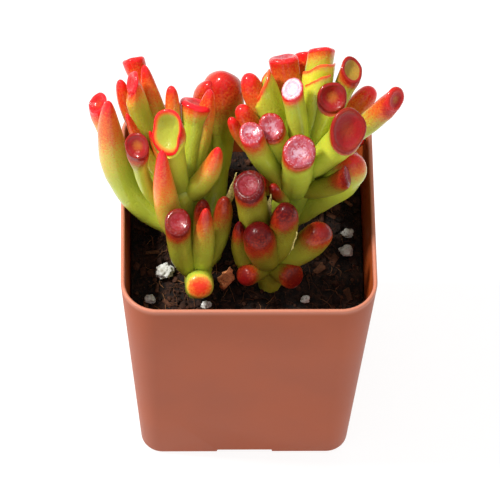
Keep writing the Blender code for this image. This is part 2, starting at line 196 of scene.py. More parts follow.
# %% Colours and patterns of the leaves
GREEN_DEEP = (150, 166, 54)
GREEN = (188, 198, 64)
# Lime is paler thin tissue with painted sunlight through it
SUNLIT_LIME = (236, 230, 70)
OLIVE = (222, 186, 74)
BRONZE = (124, 108, 26)
ORANGE = (240, 116, 46)
RUST = (150, 38, 16)
SCARLET = (236, 42, 26)
# Crimson is the darkest red, and on the front shoots it also paints their shade
CRIMSON = (78, 4, 10)
TIP_PINK = (252, 30, 44)
DISH_GREEN = (172, 174, 62)
DISH_CORE = (176, 92, 36)
DISH_RED = (190, 28, 30)
# Mauve and frost are the waxy bloom with painted sheen of the sky on it
MAUVE = (172, 88, 104)
FROST_AND_SHEEN = (222, 198, 212)
# The borders of the blush, from the green side: where each is full, where it ends, and its colour
# on a pale and on a dark leaf; the dull colours of a dark leaf also paint the shade on the front
# shoots
BORDERS = ((0.9, 2.3, OLIVE, BRONZE), (0.5, 1.35, ORANGE, RUST))
# Sizes of the patterns on the skin, in patches per metre
PATCHES = 170
GRAIN = 2100
SPECKS = 2500
BLOOM_AND_SHEEN = 900
FRECKLES = 2300
PITS = 1300
PIT_DEPTH = 0.0001
print("borders of the blush:", len(BORDERS))


# %% Leaf skin
def leaf_skin():
    skin = Finish("leaf_skin")
    along = skin.attribute("along")
    dish = skin.attribute("dish")
    reach = skin.attribute("reach")
    tone = skin.attribute("tone")
    lining = skin.attribute("lining")
    patches = skin.clouds(PATCHES)
    grain = skin.clouds(GRAIN, detail=3.0)
    specks = skin.clouds(SPECKS)
    bloom_and_sheen = skin.clouds(BLOOM_AND_SHEEN, detail=4.0, rough=0.6)

    # The body: green, duller where the red is dark, which on the front shoots also paints their
    # shade,
    # and lime where the leaf is thin: paler tissue with painted sunlight through it
    green = skin.mix(skin.step(patches, 0.35, 0.65), GREEN_DEEP, GREEN)
    green = skin.mix(skin.step(along, 0.0, 0.5) * 0.7, green, GREEN)
    green = skin.mix(skin.step(tone, 0.72, 0.95) * 0.75, green, BRONZE)
    green = skin.mix(skin.attribute("thin"), green, SUNLIT_LIME)

    # The blush: its borders are ragged, and red freckles run ahead of it
    # Dark red goes to crimson, partly the leaf's own colour and partly painted shade on the front
    # shoots
    red = skin.mix(0 - tone, skin.mix(tone, SCARLET, CRIMSON), ORANGE)
    red = skin.mix(skin.step(patches, 0.45, 0.7) * (0.2 - tone * 0.18), red, BRONZE)
    from_tip = (1 - along) / reach
    ragged = from_tip + (grain - 0.5) * 1.1 + (patches - 0.5) * 0.6
    colour = green
    for low, high, pale, dark in BORDERS:
        colour = skin.mix(1 - skin.step(ragged, low, high), colour, skin.mix(tone, pale, dark))
    colour = skin.mix(1 - skin.step(ragged, 0.05, 0.6), colour, red)
    tips = 1 - skin.step(from_tip + (grain - 0.5) * 0.3, 0.02, 0.25)
    colour = skin.mix(tips * (1 - tone * 1.6) * skin.step(tone, -0.2, 0.0), colour, TIP_PINK)
    freckles = skin.step(skin.cells(FRECKLES), 0.34, 0.22) * (1 - skin.step(from_tip, 1.0, 2.4))
    colour = skin.mix(freckles * 0.6, colour, red)

    # The dish: its lining goes from green over wine red and a patchy bloom to white frost. The bloom
    # and the frost are waxy bloom with painted sheen of the sky on it, and the darkest wine also
    # paints the shade on the front shoots
    wine = skin.mix(tone * tone * 0.8, DISH_RED, CRIMSON)
    ring = skin.mix(skin.step(lining, 0.1, 0.3), DISH_GREEN, wine)
    middle = skin.mix(skin.step(lining, 0.1, 0.3), DISH_GREEN, DISH_CORE)
    middle = skin.mix(skin.step(lining, 0.35, 0.5), middle, wine)
    inside = skin.mix(skin.step(dish + (grain - 0.5) * 0.4, 0.35, 0.9), ring, middle)
    # Mauve patches of bloom, which also paint the sky's sheen
    mottled = skin.step(lining, 0.5, 0.75) * (skin.step(bloom_and_sheen, 0.35, 0.6) * 0.65 + 0.35)
    inside = skin.mix(mottled, inside, MAUVE)
    frost_and_sheen = skin.step(lining, 0.75, 1.0) * (skin.step(grain, 0.3, 0.55) * 0.4 + 0.6)
    # A patch of painted sheen in the middle of a bloomy dish
    centre = skin.step(dish, 0.15, 0.5)
    frost_and_sheen = frost_and_sheen + skin.step(lining, 0.55, 0.72) * skin.step(bloom_and_sheen, 0.40, 0.62) * centre * 0.5
    inside = skin.mix(frost_and_sheen, inside, FROST_AND_SHEEN)

    # The rim of the dish: amber round a green one, speckled with frost round a pale one; the specks
    # are bloom with painted glints on the crest
    inward = dish + (grain - 0.5) * 0.05
    amber = skin.step(inward, 0.10, 0.17) * (1 - skin.step(lining, 0.05, 0.2))
    colour = skin.mix(amber, colour, ORANGE)
    lined = 0.15 - skin.step(lining, 0.5, 0.75) * 0.12
    wide = 0.07 + (1 - skin.step(lining, 0.05, 0.2)) * 0.1
    colour = skin.mix(skin.step(inward, lined, lined + wide), colour, inside)
    # Frost specks on the crest: bloom with painted glints
    crest = skin.step(dish, 0.03, 0.06) * (1 - skin.step(dish, 0.08, 0.14)) * 0.6
    crest = (crest + skin.step(dish, 0.05, 0.25) * 0.3) * skin.step(lining, 0.5, 0.8)
    colour = skin.mix(skin.step(specks, 0.54, 0.64) * crest, colour, FROST_AND_SHEEN)

    pits = skin.step(skin.cells(PITS), 0.1, 0.5)
    relief = skin.bump(grain * 0.6 + pits * 0.4, PIT_DEPTH)
    return skin.surface(
        Base_Color=colour,
        Roughness=0.26 + grain * 0.16,
        Normal=relief,
        Specular_IOR_Level=0.12,
        Subsurface_Weight=0.3,
        Subsurface_Radius=(1.0, 0.55, 0.2),
        Subsurface_Scale=0.002,
        Coat_Weight=0.45 - skin.step(dish, 0.2, 0.4) * 0.25 - skin.step(tone, 0.8, 0.95) * 0.35,
        Coat_Roughness=0.12,
    )


LEAF_SKIN = leaf_skin()

# %% [markdown]
# ## Plastic, soil, fibres and perlite
# The pot is moulded in satin plastic whose colour hardly varies, so a faint haze and a fine grain
# are enough, and a height mask paints light on the rim's top, which makes it paler. Soil is nearly
# black where it is wet, with brown crumbs, so dark and brown are mixed by noise at two sizes.
# Crumbs, chips, fibres and dried leaves share one material and carry a tint on their vertices, so
# that a single mesh can hold hundreds that all differ. Perlite is off-white, with dust on it and
# darker pores.

# %% Pot plastic
POT_LIGHT = (162, 72, 28)
POT_DARK = (154, 67, 24)
# Pale pink of the scuffs, and of the painted light on the rim's top
POT_RIM = (205, 138, 116)
PAINTED_RIM_LIGHT_FROM, PAINTED_RIM_LIGHT_TO = 0.0645, 0.0665


def pot_plastic():
    plastic = Finish("pot_plastic")
    haze = plastic.clouds(45, detail=3.0)
    grain = plastic.clouds(5200)
    scuffs = plastic.step(plastic.clouds(420, detail=5.0, rough=0.7), 0.62, 0.72)
    colour = plastic.mix(plastic.step(haze, 0.3, 0.7), POT_DARK, POT_LIGHT)
    colour = plastic.mix(scuffs * 0.1, colour, POT_RIM)
    height = plastic.node("SeparateXYZ", inputs={"Vector": plastic.place()}, output="Z")
    # A height mask paints light on the rim's top
    colour = plastic.mix(plastic.step(height, PAINTED_RIM_LIGHT_FROM, PAINTED_RIM_LIGHT_TO) * 0.7, colour, POT_RIM)
    return plastic.surface(
        Base_Color=colour,
        Roughness=0.40 + haze * 0.10 + scuffs * 0.12,
        Normal=plastic.bump(grain, 0.00002),
        Specular_IOR_Level=0.26,
        Subsurface_Weight=0.1,
        Subsurface_Radius=(1.0, 0.4, 0.2),
        Subsurface_Scale=0.001,
    )


POT_PLASTIC = pot_plastic()

# %% Soil
SOIL_WET = (11, 7, 6)
SOIL_BROWN = (50, 28, 18)
SOIL_GRIT = (96, 60, 38)


def soil_mix():
    soil = Finish("potting_soil")
    lumps = soil.clouds(420, detail=4.0, rough=0.6)
    grit = soil.clouds(2300, detail=3.0)
    colour = soil.mix(soil.step(lumps, 0.42, 0.66), SOIL_WET, SOIL_BROWN)
    colour = soil.mix(soil.step(grit, 0.58, 0.75) * 0.7, colour, SOIL_GRIT)
    return soil.surface(
        Base_Color=colour,
        Roughness=0.80 + grit * 0.15,
        Normal=soil.bump(lumps * 0.5 + grit * 0.5, 0.0006),
        Specular_IOR_Level=0.3,
    )


SOIL_MIX = soil_mix()

# %% Crumbs, chips, fibres and dried leaves
DRY_LEAF_TINT = 2.0
DRY_STRIP_TINT = 3.0
LITTER_DARKEST = (24, 14, 10)
LITTER_DIRT = (40, 24, 16)
# The tint at which each next colour is reached: bark, fibre, dry leaf and dried strip
LITTER_TINTS = (
    (0.6, (84, 50, 32)), (1.0, (150, 104, 68)),
    (DRY_LEAF_TINT, (222, 142, 92)), (DRY_STRIP_TINT, (255, 240, 150)),
)


def litter():
    bits = Finish("soil_litter")
    tint = bits.attribute("tint")
    grit = bits.clouds(2600, detail=3.0)
    colour, low = LITTER_DARKEST, 0.0
    for high, next_colour in LITTER_TINTS:
        colour = bits.mix(bits.step(tint, low, high), colour, next_colour)
        low = high
    colour = bits.mix(bits.step(grit, 0.4, 0.7) * 0.5, colour, LITTER_DIRT)
    return bits.surface(
        Base_Color=colour,
        Roughness=0.75 + grit * 0.2,
        Normal=bits.bump(grit, 0.0003),
        Specular_IOR_Level=0.3,
    )


LITTER = litter()

# %% Perlite
PERLITE_WHITE = (208, 210, 206)
PERLITE_DUST = (160, 152, 136)
PERLITE_PORE = (140, 130, 116)


def perlite():
    grain = Finish("perlite")
    pores = grain.cells(1500)
    dust = grain.clouds(700, detail=4.0)
    colour = grain.mix(grain.step(dust, 0.45, 0.75), PERLITE_WHITE, PERLITE_DUST)
    colour = grain.mix(1 - grain.step(pores, 0.0, 0.25), colour, PERLITE_PORE)
    return grain.surface(
        Base_Color=colour,
        Roughness=0.85 + dust * 0.1,
        Normal=grain.bump(grain.step(pores, 0.05, 0.4), 0.00025),
    )


PERLITE_STONE = perlite()

# %% [markdown]
# ## From a mesh to a piece
# Every mesh is modelled in millimetres, because those are easy to think in, and leaves this helper
# in metres. The helper hangs the piece on the root body, gives it its material and hides the plain
# solids of the model that it takes the place of.

# %% Finish a piece
def make_piece(name, bm, material, replaced=(), sharp=None):
    bmesh.ops.scale(bm, vec=(MM, MM, MM), verts=bm.verts)
    mesh = bpy.data.meshes.new(name)
    bm.to_mesh(mesh)
    bm.free()
    mesh.shade_smooth()
    if sharp:
        mesh.set_sharp_from_angle(angle=math.radians(sharp))
    mesh.materials.append(material)
    piece = bpy.data.objects.new(name, mesh)
    bpy.context.scene.collection.objects.link(piece)
    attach(piece, "root")
    if replaced:
        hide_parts(*replaced)
    print(name, "has", len(mesh.polygons), "faces")
    return piece


def add_to(bm, part):
    """Put a small bmesh into a bigger one and clear it away."""
    mesh = bpy.data.meshes.new("part")
    part.to_mesh(mesh)
    part.free()
    bm.from_mesh(mesh)
    bpy.data.meshes.remove(mesh)


def verts_of(result):
    return [item for item in result["geom"] if isinstance(item, bmesh.types.BMVert)]


def edges_of(result):
    return [item for item in result["geom"] if isinstance(item, bmesh.types.BMEdge)]


# %% [markdown]
# ## The pot
# The pot is a square cup that widens upwards, and its round corners widen too. A box with bevelled
# edges would keep one corner radius, so each level is drawn on its own: a square whose four points
# are bevelled, with its face taken off. Bridging one level to the next then makes the wall, and
# close levels round off the rim and the foot.

# %% Sizes of the pot
POT_WIDTH = 57.0
POT_BASE_WIDTH = 48.0
POT_HEIGHT = 66.5
WALL = 0.9
FLOOR = 2.3
RIM_CORNER = 8.2
BASE_CORNER = 5.0
BASE_EDGE = 1.2
NOTCH_WIDTH = 14.0
NOTCH_HEIGHT = 1.7
NOTCH_DEPTH = 2.6
NOTCH_TAPER = 0.9
DRAIN_HOLE = 4.5
DRAIN_OFFSET = 14.0
DRAIN_SIDES = 32
CORNER_SEGMENTS = 14
FOOT_STEPS = 6
LIP_STEPS = 10
WALL_LEVELS = (20, 45)
SHARP_ANGLE = 35


def pot_half(height):
    """Half of the pot's width at this height."""
    return (POT_BASE_WIDTH + (POT_WIDTH - POT_BASE_WIDTH) * height / POT_HEIGHT) / 2


def pot_corner(height):
    return BASE_CORNER + (RIM_CORNER - BASE_CORNER) * height / POT_HEIGHT


def level_loop(bm, height, inset):
    """The edges of a round-cornered square, this far inside the pot's outer face."""
    half = pot_half(height) - inset
    corner = pot_corner(height) - inset
    flat = Matrix.Translation((0, 0, height))
    square = bmesh.ops.create_grid(bm, x_segments=1, y_segments=1, size=half, matrix=flat)
    rounded = bmesh.ops.bevel(
        bm, geom=square["verts"], offset=corner, segments=CORNER_SEGMENTS, profile=0.5,
        affect="VERTICES", material=-1,
    )
    face = max((f for v in rounded["verts"] for f in v.link_faces), key=lambda f: len(f.verts))
    loop = list(face.edges)
    bmesh.ops.delete(bm, geom=[face], context="FACES_ONLY")
    return loop


def loft(bm, levels):
    """Bridge level after level, and close the first and the last."""
    loops = [level_loop(bm, height, inset) for height, inset in levels]
    for low, high in zip(loops, loops[1:]):
        bmesh.ops.bridge_loops(bm, edges=low + high)
    for loop in (loops[0], loops[-1]):
        bmesh.ops.contextual_create(bm, geom=loop)
    bmesh.ops.recalc_face_normals(bm, faces=bm.faces)


print("corner radius in mm, foot and rim:", pot_corner(0), pot_corner(POT_HEIGHT))


# %% Shape of the pot
def arc(middle_height, middle_inset, radius, start, end, steps):
    """Levels on a small arc across the wall: (height, inset) pairs, angles in degrees."""
    levels = []
    for step in range(steps + 1):
        angle = math.radians(start + (end - start) * step / steps)
        height = middle_height + radius * math.sin(angle)
        levels.append((height, middle_inset - radius * math.cos(angle)))
    return levels


def pot_levels():
    rim = WALL / 2
    foot = arc(BASE_EDGE, BASE_EDGE, BASE_EDGE, -90, 0, FOOT_STEPS)
    wall = [(height, 0.0) for height in WALL_LEVELS]
    lip = arc(POT_HEIGHT - rim, rim, rim, 0, 180, LIP_STEPS)
    inner = [(FLOOR + BASE_EDGE, WALL), (FLOOR + BASE_EDGE * 0.3, WALL + BASE_EDGE * 0.3)]
    return foot + wall + lip + inner + [(FLOOR, WALL + BASE_EDGE)]


def cutter(bm, name):
    """A shape that is taken away from the pot and then removed."""
    mesh = bpy.data.meshes.new(name)
    bm.to_mesh(mesh)
    bm.free()
    shape = bpy.data.objects.new(name, mesh)
    bpy.context.scene.collection.objects.link(shape)
    return shape


def carve(piece, shapes):
    for shape in shapes:
        cut = piece.modifiers.new("cut", "BOOLEAN")
        cut.operation = "DIFFERENCE"
        cut.solver = "EXACT"
        cut.object = shape
        with bpy.context.temp_override(object=piece, active_object=piece):
            bpy.ops.object.modifier_apply(modifier=cut.name)
        bpy.data.objects.remove(shape)


def pot_cutters():
    """Four notches and four drain holes. Each shape reaches past what it cuts through."""
    shapes = []
    for side in range(4):
        bm = bmesh.new()
        bmesh.ops.create_cube(bm, size=1.0)
        wide = (NOTCH_WIDTH * MM, NOTCH_DEPTH * 2 * MM, NOTCH_HEIGHT * 2 * MM)
        bmesh.ops.scale(bm, vec=wide, verts=bm.verts)
        top = [vert for vert in bm.verts if vert.co.z > 0]
        bmesh.ops.scale(bm, vec=(NOTCH_TAPER, 1.0, 1.0), verts=top)
        bmesh.ops.translate(bm, vec=(0, -pot_half(0) * MM, 0), verts=bm.verts)
        turn = Matrix.Rotation(side * math.pi / 2, 4, "Z")
        bmesh.ops.transform(bm, matrix=turn, verts=bm.verts)
        shapes.append(cutter(bm, "notch"))
    radius = DRAIN_HOLE / 2 * MM
    for x in (-1, 1):
        for y in (-1, 1):
            bm = bmesh.new()
            spot = Matrix.Translation((x * DRAIN_OFFSET * MM, y * DRAIN_OFFSET * MM, 0))
            size = dict(segments=DRAIN_SIDES, radius1=radius, radius2=radius, depth=FLOOR * 4 * MM)
            bmesh.ops.create_cone(bm, cap_ends=True, matrix=spot, **size)
            shapes.append(cutter(bm, "drain"))
    return shapes


pot_mesh = bmesh.new()
loft(pot_mesh, pot_levels())
POT = make_piece("pot_shell", pot_mesh, POT_PLASTIC, ["pot"])
carve(POT, pot_cutters())
POT.data.set_sharp_from_angle(angle=math.radians(SHARP_ANGLE))
print("with its notches and drain holes the pot has", len(POT.data.polygons), "faces")

# %% [markdown]
# ## The soil
# Real potting mix is a heap of crumbs with coir fibres and bark in it. A body of soil comes first:
# a fine grid whose corners are pulled round, lifted into a low mound by noise, with skirts down to
# the pot's floor. The crumbs, chips and fibres that break up its outline are scattered on it next.

# %% Height of the soil
GAP = 0.3
SOIL_LEVEL = 50.5
MOUND = 3.0
CLOD = 1.1
CLOD_SIZE = 5.0
SOIL_CELLS = 120
SKIRT_DROP = 3
CRUMB_RELIEF = 0.9
CRUMB_SIZE = 1.7
CRUMB_OCTAVES = 4
CRUMB_SLICE = 3.0


def soil_height(x, y):
    """The mound and its clods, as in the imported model."""
    reach = min(1.0, max(abs(x), abs(y)) / pot_half(SOIL_LEVEL))
    clods = noise.noise(Vector((x / CLOD_SIZE, y / CLOD_SIZE, 0.0))) * CLOD
    return SOIL_LEVEL + MOUND * (1 - reach**2) + clods


def soil_top(x, y):
    """The soil's surface with its crumbs."""
    spot = Vector((x / CRUMB_SIZE, y / CRUMB_SIZE, CRUMB_SLICE))
    crumbs = noise.turbulence(spot, CRUMB_OCTAVES, True, noise_basis="PERLIN_ORIGINAL") - 0.5
    return soil_height(x, y) + crumbs * CRUMB_RELIEF


def round_corners(vert, half, corner):
    """Pull a point in a corner of the square on to a quarter disc."""
    side = Vector((math.copysign(1, vert.co.x), math.copysign(1, vert.co.y)))
    u = (abs(vert.co.x) - (half - corner)) / corner
    v = (abs(vert.co.y) - (half - corner)) / corner
    if u > 0 and v > 0:
        vert.co.x = side.x * (half - corner + corner * u * math.sqrt(1 - v * v / 2))
        vert.co.y = side.y * (half - corner + corner * v * math.sqrt(1 - u * u / 2))


print("the soil reaches", round(soil_top(0, 0), 1), "mm up in the middle of the pot")

# %% Body of the soil
soil_mesh = bmesh.new()
soil_half = pot_half(SOIL_LEVEL) - WALL - GAP
soil_grid = dict(x_segments=SOIL_CELLS, y_segments=SOIL_CELLS, size=soil_half)
bmesh.ops.create_grid(soil_mesh, **soil_grid)
for vert in soil_mesh.verts:
    round_corners(vert, soil_half, pot_corner(SOIL_LEVEL) - WALL)
    vert.co.z = soil_top(vert.co.x, vert.co.y)
rim_edges = [edge for edge in soil_mesh.edges if edge.is_boundary]
skirts = ((SOIL_LEVEL - SKIRT_DROP, 0), (FLOOR + BASE_EDGE, 0), (FLOOR + GAP, BASE_EDGE))
for level, inset in skirts:
    skirt = bmesh.ops.extrude_edge_only(soil_mesh, edges=rim_edges)
    ends = set(verts_of(skirt))
    rim_edges = [edge for edge in edges_of(skirt) if set(edge.verts) <= ends]
    lower_half = pot_half(level) - WALL - GAP - inset
    narrow = lower_half / soil_half
    bmesh.ops.scale(soil_mesh, vec=(narrow, narrow, 1.0), verts=list(ends))
    for vert in ends:
        vert.co.z = level
    soil_half = lower_half
bmesh.ops.contextual_create(soil_mesh, geom=rim_edges)
bmesh.ops.recalc_face_normals(soil_mesh, faces=soil_mesh.faces)
make_piece("soil_body", soil_mesh, SOIL_MIX, ["soil"])

# %% [markdown]
# ## Crumbs, bark and fibres
# Each crumb is an icosphere of twenty faces, knocked out of shape. A bark chip is a bevelled flake,
# and a coir fibre is a thin tube that is bent a little at each step. They are drawn with a seeded
# random source, so the pot looks the same each time, and they keep clear of the wall.

# %% Scatter helpers
SCATTER = random.Random(21)
CRUMB_SQUASH = (0.7, 1.15)
CHIP_SKEW = 0.12
CHIP_EDGE = 0.3
CHIP_LEAN = 0.5


def drawn(ends):
    """A random value between these two."""
    return SCATTER.uniform(*ends)


def soil_spot(margin):
    """A random place on the soil, this far from the pot's wall."""
    reach = pot_half(SOIL_LEVEL) - WALL - GAP - margin
    return SCATTER.uniform(-reach, reach), SCATTER.uniform(-reach, reach)


def tinted(bm, value):
    layer = bm.verts.layers.float.new("tint")
    for vert in bm.verts:
        vert[layer] = value


def random_turn():
    axis = Vector([SCATTER.uniform(-1, 1) for _ in range(3)])
    return Matrix.Rotation(SCATTER.uniform(0, math.tau), 3, axis)


def crumb(size):
    bm = bmesh.new()
    bmesh.ops.create_icosphere(bm, subdivisions=1, radius=size / 2)
    for vert in bm.verts:
        vert.co *= drawn(CRUMB_SQUASH)
    bmesh.ops.rotate(bm, matrix=random_turn(), verts=bm.verts)
    return bm


def chip(length, width, thick):
    bm = bmesh.new()
    bmesh.ops.create_cube(bm, size=1.0)
    bmesh.ops.scale(bm, vec=(length, width, thick), verts=bm.verts)
    for vert in bm.verts:
        vert.co += Vector([drawn((-CHIP_SKEW, CHIP_SKEW)) * length for _ in range(2)] + [0.0])
    bmesh.ops.bevel(
        bm, geom=list(bm.edges), offset=thick * CHIP_EDGE, segments=1, profile=0.5,
        affect="EDGES", material=-1,
    )
    lean = Matrix.Rotation(drawn((-CHIP_LEAN, CHIP_LEAN)), 3, "X")
    turn = Matrix.Rotation(SCATTER.uniform(0, math.tau), 3, "Z") @ lean
    bmesh.ops.rotate(bm, matrix=turn, verts=bm.verts)
    return bm


print("bits lie up to", round(pot_half(SOIL_LEVEL) - WALL - GAP, 1), "mm from the middle")

# %% Crumbs and chips
CRUMBS = 900
BIG_EVERY = 6
CRUMB_MARGIN = 1.0
CRUMB_SMALL = (0.5, 1.1)
CRUMB_BIG = (1.2, 2.2)
CRUMB_TINT = (0.0, 0.5)
CRUMB_LIFT = 0.15
CHIPS = 90
CHIP_MARGIN = 2.2
CHIP_LENGTH = (1.4, 3.4)
CHIP_SLIMNESS = (0.3, 0.55)
CHIP_THICKNESS = (0.3, 0.6)
CHIP_TINT = (0.3, 0.8)
CHIP_LIFT = 0.3

crumb_mesh = bmesh.new()
for index in range(CRUMBS):
    x, y = soil_spot(CRUMB_MARGIN)
    size = drawn(CRUMB_SMALL if index % BIG_EVERY else CRUMB_BIG)
    lump = crumb(size)
    tinted(lump, drawn(CRUMB_TINT))
    bmesh.ops.translate(lump, vec=(x, y, soil_top(x, y) + size * CRUMB_LIFT), verts=lump.verts)
    add_to(crumb_mesh, lump)
for _ in range(CHIPS):
    x, y = soil_spot(CHIP_MARGIN)
    length = drawn(CHIP_LENGTH)
    flake = chip(length, length * drawn(CHIP_SLIMNESS), drawn(CHIP_THICKNESS))
    tinted(flake, drawn(CHIP_TINT))
    bmesh.ops.translate(flake, vec=(x, y, soil_top(x, y) + CHIP_LIFT), verts=flake.verts)
    add_to(crumb_mesh, flake)
make_piece("soil_crumbs", crumb_mesh, LITTER, sharp=50)

# %% Coir fibres
TINY = 1e-6
FIBRES = 280
FIBRE_MARGIN = 4.0
FIBRE_LENGTH = (2.0, 5.0)
FIBRE_RADIUS = (0.05, 0.12)
FIBRE_TINT = (0.3, 0.95)
FIBRE_STEPS = 7
FIBRE_SIDES = 5
FIBRE_BEND = (-0.35, 0.35)
FIBRE_KINK = (-0.25, 0.25)
FIBRE_ARCH = 0.10
FIBRE_LIFT = 0.15
FIBRE_END = 0.5


def tube(bm, rings, sides):
    """A closed tube: a circle is placed by the first matrix and extruded on to each next one."""
    start = bmesh.ops.create_circle(bm, cap_ends=True, segments=sides, radius=1.0, matrix=rings[0])
    loops = [start["verts"]]
    edges = list({edge for vert in loops[0] for edge in vert.link_edges})
    for here, there in zip(rings, rings[1:]):
        grown = bmesh.ops.extrude_edge_only(bm, edges=edges)
        loops.append(verts_of(grown))
        ends = set(loops[-1])
        bmesh.ops.transform(bm, matrix=there @ here.inverted(), verts=loops[-1])
        edges = [edge for edge in edges_of(grown) if set(edge.verts) <= ends]
    bmesh.ops.contextual_create(bm, geom=edges)
    bmesh.ops.recalc_face_normals(bm, faces=bm.faces)
    return loops


def ring_at(centre, turn, radius, flat=1.0, stretch=1.0, along=None):
    """Where a circle goes: its centre, the way it faces and its size."""
    matrix = turn.to_matrix().to_4x4() @ Matrix.Diagonal((radius, radius * flat, 1.0, 1.0))
    if along and along.length > TINY:
        matrix = Matrix.Scale(stretch, 4, along.normalized()) @ matrix
    return Matrix.Translation(centre) @ matrix


def fibre(x, y, length, radius):
    """A thin tube that follows the soil, arched a little and turned at each step."""
    heading = SCATTER.uniform(0, math.tau)
    bend = drawn(FIBRE_BEND)
    rings = []
    for step in range(FIBRE_STEPS + 1):
        arch = math.sin(math.pi * step / FIBRE_STEPS) * length * FIBRE_ARCH
        ahead = Vector((math.cos(heading), math.sin(heading), 0.0))
        turn = Vector((0, 0, 1)).rotation_difference(ahead)
        thin = radius * (FIBRE_END if step in (0, FIBRE_STEPS) else 1.0)
        spot = Vector((x, y, soil_top(x, y) + FIBRE_LIFT + arch))
        rings.append(ring_at(spot, turn, thin))
        heading += bend + drawn(FIBRE_KINK)
        x += ahead.x * length / FIBRE_STEPS
        y += ahead.y * length / FIBRE_STEPS
    bm = bmesh.new()
    tube(bm, rings, FIBRE_SIDES)
    return bm


fibre_mesh = bmesh.new()
for _ in range(FIBRES):
    strand = fibre(*soil_spot(FIBRE_MARGIN), drawn(FIBRE_LENGTH), drawn(FIBRE_RADIUS))
    tinted(strand, drawn(FIBRE_TINT))
    add_to(fibre_mesh, strand)
make_piece("coir_fibres", fibre_mesh, LITTER)

# %% [markdown]
# ## Dried leaves
# A shed leaf dries to a thin, crumpled, orange-brown scale, and one leans between the front shoots.
# Pale strips of dried skin stand between the stems. Each is a tube too, squeezed flat and turned
# further at each ring, which curls it.

# %% Dry leaf and dried strips
# foot, tip, width, flatness, curl and tint
DRIED = (
    ((-5.9, -15.6, 57.0), (-4.3, -16.2, 66.0), 3.6, 0.22, 1.9, DRY_LEAF_TINT),
    ((3.2, -10.5, 62.0), (4.6, -10.0, 85.6), 1.9, 0.25, 0.6, DRY_STRIP_TINT),
    ((-8.4, -6.2, 57.0), (-2.9, -6.0, 87.4), 2.3, 0.25, 0.6, DRY_STRIP_TINT),
    ((7.2, -13.6, 62.0), (10.6, -14.2, 77.0), 1.9, 0.25, 0.6, DRY_STRIP_TINT),
)
DRIED_RINGS = 14
DRIED_SIDES = 16
DRIED_CRUMPLE = 0.6
DRIED_CRUMPLE_PITCH = 0.7
DRIED_CRUMPLE_SEED = 4
# Where on a half circle the width starts, and how much of the half circle it follows
DRIED_ARC = (0.12, 0.84)


def dried_leaf(foot, tip, width, flatness, curl, tint):
    foot, tip = Vector(foot), Vector(tip)
    rings = []
    for step in range(DRIED_RINGS + 1):
        share = step / DRIED_RINGS
        size = width / 2 * math.sin(math.pi * (DRIED_ARC[0] + DRIED_ARC[1] * share))
        turn = Quaternion((0, 0, 1), curl * (share - 0.5))
        rings.append(ring_at(foot.lerp(tip, share), turn, size, flatness))
    bm = bmesh.new()
    tube(bm, rings, DRIED_SIDES)
    for vert in bm.verts:
        vert.co += noise.noise_vector(vert.co * DRIED_CRUMPLE_PITCH) * DRIED_CRUMPLE
    tinted(bm, tint)
    return bm


# Vector noise has offsets that come from the clock unless they are given a seed
noise.seed_set(DRIED_CRUMPLE_SEED)
dried_mesh = bmesh.new()
for row in DRIED:
    add_to(dried_mesh, dried_leaf(*row))
make_piece("dried_leaves", dried_mesh, LITTER)

# %% [markdown]
# ## Perlite
# Perlite is a white, popped volcanic glass. Each grain of the model is a rough stone of twenty
# faces. Its finer twin is a dense icosphere in the middle of the same box, whose surface is pushed
# in and out by noise, so that it looks popped rather than cut.

# %% Perlite grains
# Sizes in the order of the grains' names
PERLITE_SIZES = (4.2, 2.6, 2.3, 2.8, 3.2, 2.4, 2.2, 2.8, 3.0)
PERLITE_NAMES = [f"perlite_{number}" for number in range(1, len(PERLITE_SIZES) + 1)]
GRAIN_SHAPE = (1.0, 0.85, 0.75)
GRAIN_CORE = 0.92
GRAIN_PITCH = 1.1
# Knobs on a grain: how fine they are and how far they stand out
KNOBS = ((1.0, 0.35), (2.7, 0.16))


def perlite_grain(size, centre):
    bm = bmesh.new()
    bmesh.ops.create_icosphere(bm, subdivisions=4, radius=size / 2)
    for vert in bm.verts:
        spot = vert.co * GRAIN_PITCH + centre
        vert.co *= GRAIN_CORE + sum(noise.noise(spot * fine) * out for fine, out in KNOBS)
    bmesh.ops.scale(bm, vec=GRAIN_SHAPE, verts=bm.verts)
    bmesh.ops.translate(bm, vec=centre, verts=bm.verts)
    return bm


grain_mesh = bmesh.new()
for name, size in zip(PERLITE_NAMES, PERLITE_SIZES):
    low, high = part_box(name)
    centre = (Vector(low) + Vector(high)) / 2 / MM
    add_to(grain_mesh, perlite_grain(size, centre))
make_piece("perlite_grains", grain_mesh, PERLITE_STONE, PERLITE_NAMES)

# %% [markdown]
# ## The plan of the plant
# Each stem is a bent rod that rises from its hole in the soil, and each leaf starts on it. The
# numbers are those of the imported model, so the round leaves take the places of its octagons. Three
# more numbers give each leaf its colours: how much of it blushes, how dark the red is, and the
# dish in its end, from green (0) over red (0.5) and patches of bloom (0.6 to 0.7) to white frost
# (1). The darkest reds, on the front shoots, also paint the shade that falls on them, and the bloom
# and the frost also paint the sky's sheen on the dish. A darkness below zero turns the red towards
# orange.

# %% Stems
SOIL_HOLE = 44.0
STEM_FOOT = 54.0
# The dome on a stem's end: rise and radius, in shares of the stem's radius
STEM_TOP = ((0.3, 0.93), (0.55, 0.78), (0.75, 0.55), (0.88, 0.3), (0.92, 0.08))
